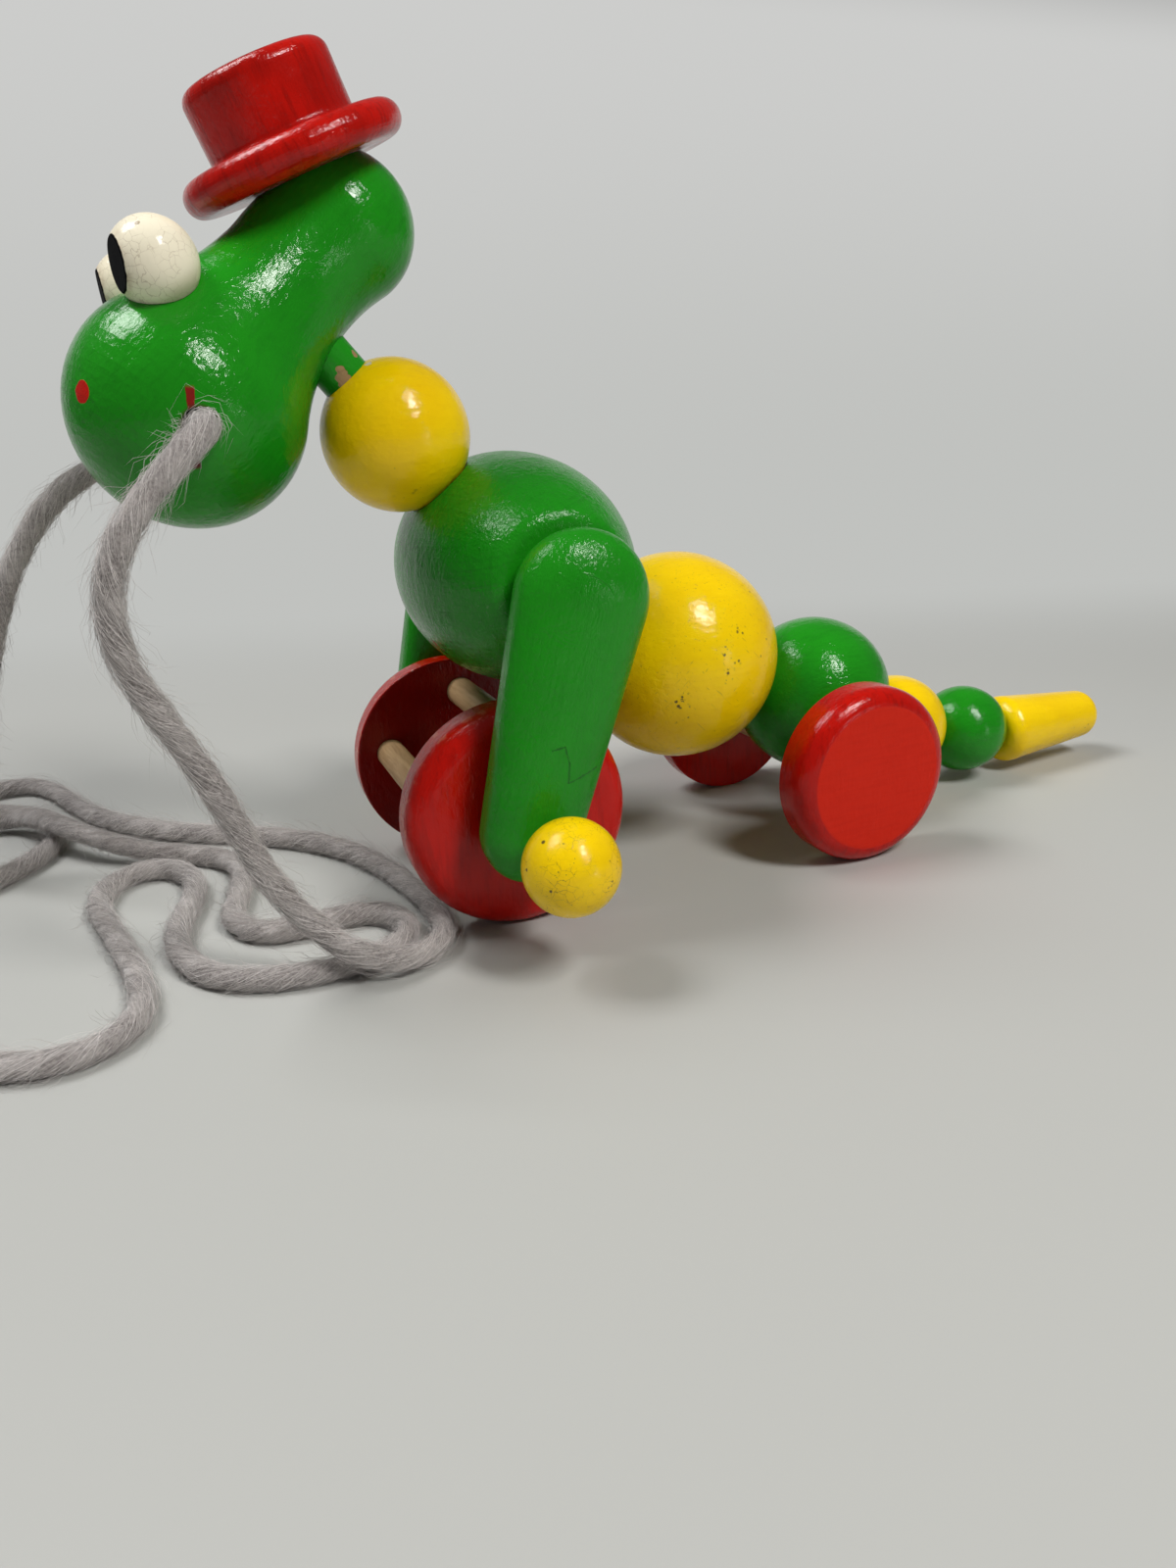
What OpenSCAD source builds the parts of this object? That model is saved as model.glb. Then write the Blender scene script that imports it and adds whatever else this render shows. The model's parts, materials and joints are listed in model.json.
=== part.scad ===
// Wheeled pull toy: a turned wooden animal that rolls on a cage of two discs
// in front and on a pair of wheels behind, pulled by a yarn cord that runs
// through its snout. The body is a row of beads on an elastic string.
// The toy faces +X, its left side is +Y, and it stands on z = 0. Millimetres.

/* [Front wheels and cage] */
// Diameter of the two front discs
front_wheel_d = 60; // [50:0.5:72]
// Thickness of each front disc
front_wheel_w = 11.7; // [9:0.1:14]
// Rounding of a front disc's outer edge
front_wheel_round = 6.2; // [2:0.1:8]
// Clear width between the two front discs
cage_gap = 53.6; // [44:0.1:60]
// Diameter of the four dowels between the discs
cage_dowel_d = 8.5; // [6:0.1:10]
// Diameter of the circle that the cage dowels stand on
cage_circle_d = 40; // [32:0.5:44]
// Turn of the first cage dowel from straight ahead
cage_turn = 10; // [0:1:89]
// Diameter of the front axle
front_axle_d = 8; // [6:0.1:9.5]

/* [Rear wheels] */
// Diameter of the two rear wheels
rear_wheel_d = 52; // [44:0.1:63]
// Thickness of each rear wheel
rear_wheel_w = 11.9; // [9:0.1:14]
// Rounding of a rear wheel's outer edge
rear_wheel_round = 5.6; // [2:0.1:8]
// Clear width between the two rear wheels
rear_gap = 68.4; // [60:0.2:82]
// Diameter of the rear axle
rear_axle_d = 8; // [6:0.1:9]
// How far the rear axle lies below the middle of the hip ball
hip_over_axle = 14; // [10:0.1:15]
// How far the rear axle lies ahead of the middle of the hip ball
axle_ahead_of_hip = 9.7; // [3:0.1:10]
// How far the hip, its wheels and the tail are turned to their left at rest
hip_aside = 2.3; // [-8:0.1:8]

/* [Torso and arms] */
// Diameter of the barrel torso at its middle
torso_d = 61; // [52:0.5:70]
// Length of the torso from end to end
torso_len = 82.5; // [70:0.5:92]
// Radius of the barrel's long curve
torso_arc = 100; // [85:1:160]
// Rounding of the torso's ends
torso_round = 9; // [4:0.5:12]
// Gap between the torso's widest ring and the rims of the front discs, seen from the side
torso_clear = 0.4; // [0.2:0.1:12]
// Lean of the line from the front axle to the torso, backward from upright
torso_behind = 12.8; // [8:0.1:18]
// Thickness of each arm
arm_w = 17.7; // [14:0.1:22]
// Diameter of an arm's round shoulder end
shoulder_d = 33.5; // [28:0.1:40]
// Diameter of an arm's round hand end
wrist_d = 25.1; // [21:0.1:30]
// Shape of an arm's outer face: 1 is an ellipse, and less is flatter
arm_dome = 1; // [0.5:0.05:1]
// Shape of an arm's inner face, which lies on the torso's end
arm_inner_dome = 0.6; // [0.4:0.05:1]
// Diameter of the hand balls on the ends of the front axle
hand_ball_d = 23.4; // [18:0.1:28]

/* [Neck and head] */
// Diameter of the neck ball
neck_ball_d = 37.8; // [31:0.1:44]
// Diameter of the neck dowel
neck_dowel_d = 12.8; // [9:0.1:14]
// Lean of the neck dowel from upright, forward
neck_lean = 38.5; // [25:0.5:50]
// How far the head is turned to its left at rest
head_aside = 9; // [-20:1:20]
// Diameter of the snout lobe
snout_d = 53.8; // [46:0.1:60]
// Diameter of the crown lobe
crown_d = 35.4; // [30:0.1:42]
// Distance between the middles of the two lobes
head_span = 57.9; // [50:0.1:66]
// Radius of the hollow curve between the lobes
waist_arc = 115; // [60:1:160]
// Diameter of the cord's hole through the snout
cord_hole_d = 7.6; // [6.8:0.1:9]

/* [Eyes] */
// Diameter of an eye ball
eye_d = 18.8; // [15:0.1:23]
// Diameter of the flat pupil
pupil_d = 10.7; // [6:0.1:12]
// Angle of each eye from the top of the head, round the head's long axis
eye_spread = 31.6; // [26:0.1:40]
// Height of an eye's middle above the head's surface
eye_proud = 5; // [2:0.1:6]
// Diameter of the small dowels that hold the eyes
eye_dowel_d = 5; // [3:0.1:6]

/* [Hat] */
// Diameter of the brim
brim_d = 54.8; // [44:0.1:64]
// Thickness of the brim
brim_h = 7.95; // [5:0.05:9]
// Diameter of the hat's crown
hat_crown_d = 35.6; // [28:0.1:42]
// Height of the whole hat
hat_h = 23.8; // [18:0.1:30]
// Rounding of the hat's top edge
hat_round = 3.2; // [1:0.1:5]
// Backward tilt of the hat against the neck
hat_tilt = 15.7; // [5:0.5:25]

/* [Body and tail] */
// Diameter of the large body ball
body_ball_d = 60.8; // [52:0.2:70]
// Diameter of the hip ball
hip_ball_d = 48.4; // [42:0.2:56]
// Diameter of the large tail ball
tail_large_d = 34; // [28:0.2:40]
// Diameter of the small tail ball
tail_small_d = 29.6; // [24:0.2:36]
// Diameter of the tail tip at its thick end
tip_front_d = 24.4; // [20:0.1:28]
// Diameter of the tail tip at its thin end
tip_rear_d = 16.4; // [13:0.1:20]
// Length of the tail tip
tip_len = 44.6; // [36:0.1:54]
// Diameter of the elastic string
string_d = 2.5; // [1.5:0.1:3]
// Diameter of the holes for the string
string_hole_d = 4.5; // [3.6:0.1:6]

/* [Pull cord] */
// Diameter of the yarn
cord_d = 6; // [5:0.1:6.6]

/* [Fits] */
// Gap all round a glued dowel
glue_gap = 0.05; // [0.02:0.01:0.2]
// Gap all round a turning axle
run_gap = 0.08; // [0.03:0.01:0.1]
// Gap between a ball and the cup that it sits in
cup_gap = 0.3; // [0.2:0.05:0.6]

/* [Hidden] */
$fn = 96;

// Paint and wood
green = [0.05, 0.42, 0.09];
red = [0.78, 0.05, 0.04];
yellow = [0.96, 0.76, 0.02];
ivory = [0.86, 0.82, 0.72];
bare_wood = [0.80, 0.62, 0.42];
wool = [0.56, 0.53, 0.54];

// How deep each ball sits in the piece in front of it
neck_nest = 3.8;
body_nest = 2.4;
hip_nest = 2.4;
tail_large_nest = 3.4;
tail_small_nest = 1.1;
// Fall of the line from torso to body ball, and from hip to large tail ball
body_fall = 31.8;
tail_fall = 25.7;
// Air under the tail's small ball and under its tip, which the string holds up
tail_air = 3;
tip_air = 2.3;
// How far the tip's front edge lies past the small ball's back
tip_over = 0.1;

// Middles of the pieces, as [x, z] from the front axle's place on the floor
function fall(from, distance, angle) = from + distance * [-cos(angle), -sin(angle)];
function angle_down_to(from, distance, z) = asin((from[1] - z) / distance);
front_axle = [0, front_wheel_d / 2];
torso_link = front_wheel_d / 2 + torso_d / 2 + torso_clear;
torso = front_axle + torso_link * [-sin(torso_behind), cos(torso_behind)];
neck_up = torso_d / 2 + neck_ball_d / 2 - neck_nest;
neck = torso + neck_up * [sin(neck_lean), cos(neck_lean)];
body_link = torso_d / 2 + body_ball_d / 2 - body_nest;
body = fall(torso, body_link, body_fall);
hip_link = body_ball_d / 2 + hip_ball_d / 2 - hip_nest;
hip_z = rear_wheel_d / 2 + hip_over_axle;
hip = fall(body, hip_link, angle_down_to(body, hip_link, hip_z));
rear_axle = hip + [axle_ahead_of_hip, -hip_over_axle];
tail_large_link = hip_ball_d / 2 + tail_large_d / 2 - tail_large_nest;
tail_large = fall(hip, tail_large_link, tail_fall);
tail_small_link = tail_large_d / 2 + tail_small_d / 2 - tail_small_nest;
tail_small_z = tail_small_d / 2 + tail_air;
tail_small = fall(tail_large, tail_small_link, angle_down_to(tail_large, tail_small_link, tail_small_z));
tip_axis_z = tip_front_d / 2 + tip_air;
tip_front = [tail_small[0] - tail_small_d / 2 + tip_over, tip_axis_z];

// Sideways places
disc_inner_y = cage_gap / 2;
disc_outer_y = disc_inner_y + front_wheel_w;
arm_inner_y = torso_len / 2 + glue_gap;
arm_outer_y = arm_inner_y + arm_w;
hand_gap = 1;
hand_ball_y = arm_outer_y + hand_gap + hand_ball_d / 2;

// Holes for dowels
shoulder_dowel_d = 8;
shoulder_depth = 14;
axle_in_hand = 14;
axle_in_rear_wheel = 8;
cage_dowel_depth = 6;
neck_dowel_in_torso = 20;
neck_dowel_past_snout = 9.1;
hat_dowel_d = 8;
hat_dowel_depth = 12;
hole_spare = 1;
wrist_ahead = 2;
wrist_above = 1.1;
shoulder_behind = 1;
shoulder_below = 2.4;

// Head, measured from the middle of the neck ball along the turned neck frame
head_clear = 4.2;
head_ahead_turn = 42.4;
snout_link = neck_ball_d / 2 + snout_d / 2 + head_clear;
snout_ahead = snout_link * sin(head_ahead_turn);
snout_up = snout_link * cos(head_ahead_turn);
neck_dowel_top = snout_up + neck_dowel_past_snout;
head_rise = 5.25;
mouth_ahead = 6.1;
mouth_below = 3.1;
eye_back = 16.1;
look_up = 33;
look_out = 5.6;
hat_behind = 0.6;
hat_sink = 4.5;
hat_seat_up = crown_d / 2 - hat_sink;
hat_roll = 6;
cord_out = 2.5;

// Middle of the object without its cord, which is the frame's origin
toy_front = (neck + turned_xz([snout_ahead, 0, snout_up]))[0] + snout_d / 2;
toy_back = hip[0] - (hip[0] - tip_front[0] + tip_len) * cos(hip_aside);
middle_x = (toy_front + toy_back) / 2;

// A place in the turned neck frame, as [x, z] of the toy
function turned_xz(p) =
    let (ahead = p[0] * cos(head_aside) - p[1] * sin(head_aside))
    [ahead * cos(neck_lean) + p[2] * sin(neck_lean), -ahead * sin(neck_lean) + p[2] * cos(neck_lean)];
// A place in the turned neck frame, as [x, y, z] of the object's own frame
function from_head(p) =
    let (q = neck + turned_xz(p))
    [q[0] - middle_x, p[0] * sin(head_aside) + p[1] * cos(head_aside), q[1]];

// Points of an arc about c from angle a to angle b
function arc(c, r, a, b, n = 12) =
    [for (i = [0:n]) let (t = a + (b - a) * i / n) c + r * [cos(t), sin(t)]];

// Arc that rounds corner b, between a and c, with radius r
function corner(a, b, c, r, n) =
    let (u = (a - b) / norm(a - b), v = (c - b) / norm(c - b), half = acos(u * v) / 2,
         m = b + (u + v) / norm(u + v) * r / sin(half),
         p = b + u * r / tan(half) - m, q = b + v * r / tan(half) - m,
         start = atan2(p[1], p[0]), swing = atan2(q[1], q[0]) - start,
         sweep = swing > 180 ? swing - 360 : swing < -180 ? swing + 360 : swing)
    arc(m, r, start, start + sweep, n);

// Outline through points [x, y, corner radius]
function outline(pts, n = 10) =
    let (k = len(pts), at = [for (p = pts) [p[0], p[1]]])
    [for (i = [0:k - 1]) each pts[i][2] > 0
        ? corner(at[(i + k - 1) % k], at[i], at[(i + 1) % k], pts[i][2], n)
        : [at[i]]];

function unit(v) = v / norm(v);
// Direction of a path at each of its points
function headings(p) =
    let (n = len(p))
    [for (i = [0:n - 1])
        let (ahead = i < n - 1 ? unit(p[i + 1] - p[i]) : [0, 0, 0],
             behind = i > 0 ? unit(p[i] - p[i - 1]) : [0, 0, 0])
        unit(ahead + behind)];
// A vector square to each heading, carried along the path without twist
function carried(h, v, i = 0) =
    let (w = unit(v - h[i] * (h[i] * v)))
    i == len(h) - 1 ? [w] : concat([w], carried(h, w, i + 1));

// Any direction that no tube starts along
askew = [0.3, 0.5, 0.8];
// Tube along a path, with a radius for each point
module tube(path, radii, sides = 8) {
    h = headings(path);
    v = carried(h, cross(h[0], askew));
    rings = len(path);
    points = [for (i = [0:rings - 1]) for (k = [0:sides - 1])
        let (a = 360 * k / sides) path[i] + radii[i] * (cos(a) * v[i] + sin(a) * cross(h[i], v[i]))];
    walls = [for (i = [0:rings - 2]) for (k = [0:sides - 1])
        let (a = i * sides + k, b = i * sides + (k + 1) % sides)
        each [[a, b + sides, b], [a, a + sides, b + sides]]];
    first = [for (k = [0:sides - 1]) k];
    last = [for (k = [sides - 1:-1:0]) (rings - 1) * sides + k];
    polyhedron(points, concat(walls, [first, last]));
}

// Shifts a piece that is drawn from the front axle into the object's own frame
module in_place() {
    translate([-middle_x, 0, 0]) children();
}

// Draws at a place [x, z] and sideways place y, with Z turned to run along +Y
module across(xz, y) {
    in_place() translate([xz[0], y, xz[1]]) rotate([-90, 0, 0]) children();
}

// Turns the hip, its wheels and the tail about the hip's upright axis
module hip_frame() {
    in_place() translate([hip[0], 0, 0]) rotate([0, 0, hip_aside]) translate([middle_x - hip[0], 0, 0])
        children();
}

module head_frame() {
    in_place() translate([neck[0], 0, neck[1]]) rotate([0, neck_lean, 0])
        rotate([0, 0, head_aside]) children();
}

// Frame of the head's turning axis: Z runs back from snout to crown, X is up
module skull_frame() {
    translate([snout_ahead, 0, snout_up]) rotate([0, head_rise - 90, 0]) children();
}

// Bead of the body, turned on its own axis by spin
module ball(xz, d, spin = 90) {
    in_place() translate([xz[0], 0, xz[1]]) rotate([0, 0, spin]) sphere(d = d);
}

// Dished seat for a neighbouring ball
module cup(xz, d) {
    ball(xz, d + 2 * cup_gap, 40);
}

// Straight round bar between two places [x, y, z]
module bar(a, b, d) {
    run = b - a;
    translate(a) rotate([0, acos(run[2] / norm(run)), atan2(run[1], run[0])])
        cylinder(h = norm(run), d = d);
}

disc_inner_round = 0.6;
// Disc about Z from 0 to w with its far edge rounded
module disc(d, w, round) {
    rotate_extrude() polygon(outline([
        [0, 0, 0], [d / 2, 0, disc_inner_round], [d / 2, w, round], [0, w, 0]
    ]));
}

// Torso, arms and what pins them

// Radius of the torso's end flat and angle at which its corner meets the barrel
end_flat_r = torso_d / 2 - torso_arc
    + sqrt(pow(torso_arc - torso_round, 2) - pow(torso_len / 2 - torso_round, 2));
end_turn = atan2(torso_len / 2 - torso_round, end_flat_r - torso_d / 2 + torso_arc);

module torso() {
    barrel_c = [torso_d / 2 - torso_arc, 0];
    end_c = [end_flat_r, torso_len / 2 - torso_round];
    half = concat(arc(barrel_c, torso_arc, 0, end_turn), arc(end_c, torso_round, end_turn, 90),
                  [[0, torso_len / 2]]);
    other_half = [for (i = [len(half) - 1:-1:1]) [half[i][0], -half[i][1]]];
    color(green) difference() {
        across(torso, 0) rotate_extrude() polygon(concat(other_half, half));
        cup(neck, neck_ball_d);
        cup(body, body_ball_d);
        neck_dowel_hole(0, neck_dowel_low - hole_spare, glue_gap);
        for (side = [-1, 1])
            across(torso, side * torso_len / 2)
                cylinder(h = 2 * (shoulder_depth + hole_spare),
                         d = shoulder_dowel_d + 2 * glue_gap, center = true);
        string_run(string_hole_d, 0, 1, hole_spare);
    }
}

module shoulder_dowels() {
    color(bare_wood) for (side = [-1, 1])
        across(torso, side * arm_inner_y)
            cylinder(h = 2 * (shoulder_depth - hole_spare), d = shoulder_dowel_d, center = true);
}

arm_steps = 8;
arm_sides = 40;
// Half of an arm's section: from its widest ring to the middle of one face
function arm_section(r, face) =
    let (to_face = face * arm_w / 2, full = face > 0 ? arm_dome : arm_inner_dome)
    [for (i = [0:arm_steps]) let (t = 90 * i / arm_steps)
        [r * pow(cos(t), full), arm_w / 2 + to_face * pow(sin(t), full)]];

// Round end of an arm about Z, from its inner to its outer face
module arm_end(d) {
    inner = arm_section(d / 2, -1);
    outer = arm_section(d / 2, 1);
    rotate_extrude($fn = arm_sides)
        polygon(concat([for (i = [arm_steps:-1:1]) inner[i]], outer));
}

module arm() {
    shoulder = torso + [-shoulder_behind, -shoulder_below];
    wrist = front_axle + [wrist_ahead, wrist_above];
    color(green) difference() {
        hull() {
            across(shoulder, arm_inner_y) arm_end(shoulder_d);
            across(wrist, arm_inner_y) arm_end(wrist_d);
        }
        across(torso, arm_inner_y)
            cylinder(h = 2 * shoulder_depth, d = shoulder_dowel_d + 2 * glue_gap, center = true);
        across(front_axle, 0)
            cylinder(h = arm_outer_y + hole_spare, d = front_axle_d + 2 * run_gap);
    }
}

module arm_left() {
    arm();
}

module arm_right() {
    mirror([0, 1, 0]) arm();
}

// Neck

neck_dowel_low = -(neck_up - torso_d / 2) - neck_dowel_in_torso;

// Hole along the neck dowel between two heights in the neck frame
module neck_dowel_hole(high, low, gap) {
    head_frame() translate([0, 0, low]) cylinder(h = high - low, d = neck_dowel_d + 2 * gap);
}

module neck_dowel() {
    color(green) head_frame() translate([0, 0, neck_dowel_low])
        cylinder(h = neck_dowel_top - neck_dowel_low, d = neck_dowel_d);
}

module neck_ball() {
    color(yellow) difference() {
        ball(neck, neck_ball_d);
        neck_dowel_hole(neck_ball_d, -neck_ball_d, run_gap);
    }
}

// Head

snout_r = snout_d / 2;
crown_r = crown_d / 2;
// Middle of the waist's arc, along and out from the head's long axis
to_snout = snout_r + waist_arc;
to_crown = crown_r + waist_arc;
waist_at = (pow(to_snout, 2) - pow(to_crown, 2) + pow(head_span, 2)) / (2 * head_span);
waist_out = sqrt(pow(to_snout, 2) - pow(waist_at, 2));
snout_turn = atan2(waist_out, waist_at);
crown_turn = atan2(waist_out, waist_at - head_span);
// Radius of the head at a distance behind the middle of the snout, as far as the crown
function head_r(back) =
    back < snout_r * cos(snout_turn)
        ? sqrt(pow(snout_r, 2) - pow(back, 2))
        : waist_out - sqrt(pow(waist_arc, 2) - pow(back - waist_at, 2));

lobe_steps = 22;
module peanut() {
    lobes = concat(arc([0, 0], snout_r, 180, snout_turn, lobe_steps),
                   arc([waist_at, waist_out], waist_arc, snout_turn + 180, crown_turn + 180),
                   arc([head_span, 0], crown_r, crown_turn, 0, lobe_steps));
    rotate_extrude() polygon([for (p = lobes) [max(0, p[1]), p[0]]]);
}

// Frame of one eye: its middle, with Z pointing away from the head's long axis
module eye_frame(side) {
    skull_frame() translate([0, 0, eye_back]) rotate([0, 0, side * eye_spread])
        translate([head_r(eye_back) + eye_proud, 0, 0]) rotate([0, 90, 0]) children();
}

// Frame of the hat's seat on the crown lobe, with Z along the hat's axis
module hat_frame() {
    skull_frame() translate([0, 0, head_span]) rotate([0, 90 - head_rise, 0])
        translate([-hat_behind, 0, hat_seat_up]) rotate([-hat_roll, -hat_tilt, 0]) children();
}

module head() {
    color(green) difference() {
        head_frame() difference() {
            skull_frame() peanut();
            hat_frame() cylinder(h = hat_h, d = brim_d + 2 * hole_spare);
            hat_frame() translate([0, 0, -hat_dowel_depth - hole_spare])
                cylinder(h = hat_h, d = hat_dowel_d + 2 * glue_gap);
            for (side = [-1, 1]) {
                eye_frame(side) sphere(d = eye_d + 2 * glue_gap);
                eye_frame(side) translate([0, 0, -eye_d / 2 - eye_dowel_in_head - hole_spare])
                    cylinder(h = eye_d, d = eye_dowel_d + 2 * glue_gap);
            }
            cord_hole_line(snout_d * 2) cylinder(h = snout_d * 2, d = cord_hole_d);
        }
        neck_dowel_hole(neck_dowel_top + hole_spare, 0, run_gap);
    }
}

// The brim's edge is round but for a hair's breadth
brim_round = brim_h / 2 - 0.01;
hat_cove = 1.5;

module hat() {
    color(red) head_frame() difference() {
        hat_frame() translate([0, 0, glue_gap]) rotate_extrude() polygon(outline([
            [0, 0, 0], [brim_d / 2, 0, brim_round], [brim_d / 2, brim_h, brim_round],
            [hat_crown_d / 2, brim_h, hat_cove], [hat_crown_d / 2, hat_h, hat_round], [0, hat_h, 0]
        ]));
        hat_frame() translate([0, 0, -hole_spare])
            cylinder(h = hat_dowel_depth + 2 * hole_spare, d = hat_dowel_d + 2 * glue_gap);
    }
}

module hat_dowel() {
    color(bare_wood) head_frame() hat_frame()
        cylinder(h = 2 * hat_dowel_depth, d = hat_dowel_d, center = true);
}

eye_dowel_in_head = 7;
eye_dowel_in_eye = 6;

module eye(side) {
    color(ivory) head_frame() difference() {
        eye_frame(side) sphere(d = eye_d);
        eye_frame(side) pupil_frame(side) cylinder(h = eye_d, d = eye_d);
        eye_frame(side) translate([0, 0, -eye_d])
            cylinder(h = eye_d / 2 + eye_dowel_in_eye + hole_spare, d = eye_dowel_d + 2 * glue_gap);
    }
}

// Frame on the flat of the pupil, with Z pointing out of the eye
module pupil_frame(side) {
    rotate([0, -90, 0]) rotate([0, 0, -side * eye_spread]) rotate([0, 90 - head_rise, 0])
        rotate([0, 0, side * look_out]) rotate([0, 90 - look_up, 0])
            translate([0, 0, sqrt(pow(eye_d / 2, 2) - pow(pupil_d / 2, 2))]) children();
}

module eye_left() {
    eye(1);
}

module eye_right() {
    eye(-1);
}

module eye_dowels() {
    color(bare_wood) head_frame() for (side = [-1, 1])
        eye_frame(side) translate([0, 0, -eye_d / 2 - eye_dowel_in_head])
            cylinder(h = eye_dowel_in_head + eye_dowel_in_eye, d = eye_dowel_d);
}

// Front cage: discs, dowels, axle and hand balls turn as one

module front_axle() {
    reach = hand_ball_y - hand_ball_d / 2 + axle_in_hand;
    color(bare_wood) across(front_axle, -reach) cylinder(h = 2 * reach, d = front_axle_d);
}

module cage_dowel_set(d, reach) {
    for (turn = [0:90:270])
        across(front_axle, 0) rotate([0, 0, -cage_turn - turn]) translate([cage_circle_d / 2, 0, 0])
            cylinder(h = 2 * reach, d = d, center = true);
}

module cage_dowels() {
    color(bare_wood) cage_dowel_set(cage_dowel_d, disc_inner_y + cage_dowel_depth);
}

module front_wheel() {
    color(red) difference() {
        across(front_axle, disc_inner_y) disc(front_wheel_d, front_wheel_w, front_wheel_round);
        across(front_axle, 0) cylinder(h = 2 * disc_outer_y, d = front_axle_d + 2 * glue_gap);
        cage_dowel_set(cage_dowel_d + 2 * glue_gap, disc_inner_y + cage_dowel_depth + hole_spare / 2);
    }
}

module front_wheel_left() {
    front_wheel();
}

module front_wheel_right() {
    mirror([0, 1, 0]) front_wheel();
}

module hand_ball() {
    color(yellow) difference() {
        across(front_axle, hand_ball_y) sphere(d = hand_ball_d);
        across(front_axle, 0)
            cylinder(h = hand_ball_y - hand_ball_d / 2 + axle_in_hand + hole_spare,
                     d = front_axle_d + 2 * glue_gap);
    }
}

module hand_ball_left() {
    hand_ball();
}

module hand_ball_right() {
    mirror([0, 1, 0]) hand_ball();
}

// Body beads, hip and rear wheels

// Where neighbouring beads meet on the string, front to back, as [x, y, z]
function between(a, b, share) = [a[0] + (b[0] - a[0]) * share - middle_x, 0, a[1] + (b[1] - a[1]) * share];
// A point [x, 0, z] of the tail, turned with the hip
function with_hip(p) =
    let (hip_x = hip[0] - middle_x, back = hip_x - p[0])
    [hip_x - back * cos(hip_aside), -back * sin(hip_aside), p[2]];
string_into_torso = 16;
string_hole_spare = 4;
// How far the string's end lies inside the tail tip
knot_recess = 6.5;
string_points = [
    between(torso, body, (torso_d / 2 - string_into_torso) / body_link),
    between(torso, body, (torso_d / 2 - body_nest) / body_link),
    between(body, hip, (body_ball_d / 2 - hip_nest) / hip_link),
    with_hip(between(hip, tail_large, (hip_ball_d / 2 - tail_large_nest) / tail_large_link)),
    with_hip(between(tail_large, tail_small, (tail_large_d / 2 - tail_small_nest) / tail_small_link)),
    with_hip([tip_front[0] - middle_x, 0, tip_axis_z]),
    with_hip([tip_front[0] - tip_len + knot_recess - middle_x, 0, tip_axis_z])
];

// Half the length and the fullness of the knot that holds the tail tip on
string_knot_r = 0.95 * string_d;
string_knot_bulge = 1.2;

// Round bar of diameter d along the string from one point to another, longer
// by spare at both ends
module string_run(d, first, last, spare = 0) {
    for (i = [first:last - 1]) {
        a = string_points[i];
        b = string_points[i + 1];
        u = (b - a) / norm(b - a);
        bar(a - u * spare, b + u * spare, d);
    }
}

module body_string() {
    last = string_points[len(string_points) - 1];
    back = unit(last - string_points[len(string_points) - 2]);
    knot = [for (k = [0:2]) last + back * (string_d / 2 + k * string_knot_r)];
    color(ivory) tube(concat(string_points, knot),
                      concat([for (p = string_points) string_d / 2],
                             [string_knot_r, string_knot_bulge * string_knot_r, string_knot_r]));
}

module body_ball() {
    color(yellow) difference() {
        ball(body, body_ball_d);
        cup(hip, hip_ball_d);
        string_run(string_hole_d, 1, 2, string_hole_spare);
    }
}

module hip_ball() {
    color(green) difference() {
        ball(hip, hip_ball_d);
        hip_frame() {
            cup(tail_large, tail_large_d);
            across(rear_axle, 0)
                cylinder(h = 2 * hip_ball_d, d = rear_axle_d + 2 * run_gap, center = true);
        }
        string_run(string_hole_d, 2, 3, string_hole_spare);
    }
}

module rear_axle() {
    reach = rear_gap / 2 + axle_in_rear_wheel;
    color(bare_wood) hip_frame() across(rear_axle, -reach) cylinder(h = 2 * reach, d = rear_axle_d);
}

module rear_wheel() {
    difference() {
        across(rear_axle, rear_gap / 2) disc(rear_wheel_d, rear_wheel_w, rear_wheel_round);
        across(rear_axle, 0)
            cylinder(h = rear_gap / 2 + axle_in_rear_wheel + hole_spare / 2,
                     d = rear_axle_d + 2 * glue_gap);
    }
}

module rear_wheel_left() {
    color(red) hip_frame() rear_wheel();
}

module rear_wheel_right() {
    color(red) hip_frame() mirror([0, 1, 0]) rear_wheel();
}

// Tail

module tail_ball_large() {
    color(yellow) difference() {
        hip_frame() difference() {
            ball(tail_large, tail_large_d);
            cup(tail_small, tail_small_d);
        }
        string_run(string_hole_d, 3, 4, string_hole_spare);
    }
}

module tail_ball_small() {
    color(green) difference() {
        hip_frame() ball(tail_small, tail_small_d);
        string_run(string_hole_d, 4, 5, string_hole_spare);
    }
}

tip_front_round = 5;
tip_rear_round = 5.2;
knot_hole_d = 2.6 * string_d;
knot_hole_deeper = 3;

module tail_tip() {
    color(yellow) difference() {
        hip_frame() difference() {
            in_place() translate([tip_front[0], 0, tip_axis_z]) rotate([0, -90, 0])
                rotate_extrude() polygon(outline([
                    [0, 0, 0], [tip_front_d / 2, 0, tip_front_round],
                    [tip_rear_d / 2, tip_len, tip_rear_round], [0, tip_len, 0]
                ]));
            cup(tail_small, tail_small_d);
            in_place() translate([tip_front[0] - tip_len - hole_spare, 0, tip_axis_z]) rotate([0, 90, 0])
                cylinder(h = knot_recess + hole_spare + knot_hole_deeper, d = knot_hole_d);
        }
        string_run(string_hole_d, 5, 6, string_hole_spare / 2);
    }
}

// Pull cord

module cord_hole_line(length) {
    translate([snout_ahead + mouth_ahead, -length / 2, snout_up - mouth_below]) rotate([-90, 0, 0])
        children();
}

mouth_y = sqrt(pow(snout_r, 2) - pow(mouth_ahead, 2) - pow(mouth_below, 2));

module cord_in_head() {
    length = 2 * (mouth_y + cord_out);
    color(wool) head_frame() cord_hole_line(length) cylinder(h = length, d = cord_d);
}

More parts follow.
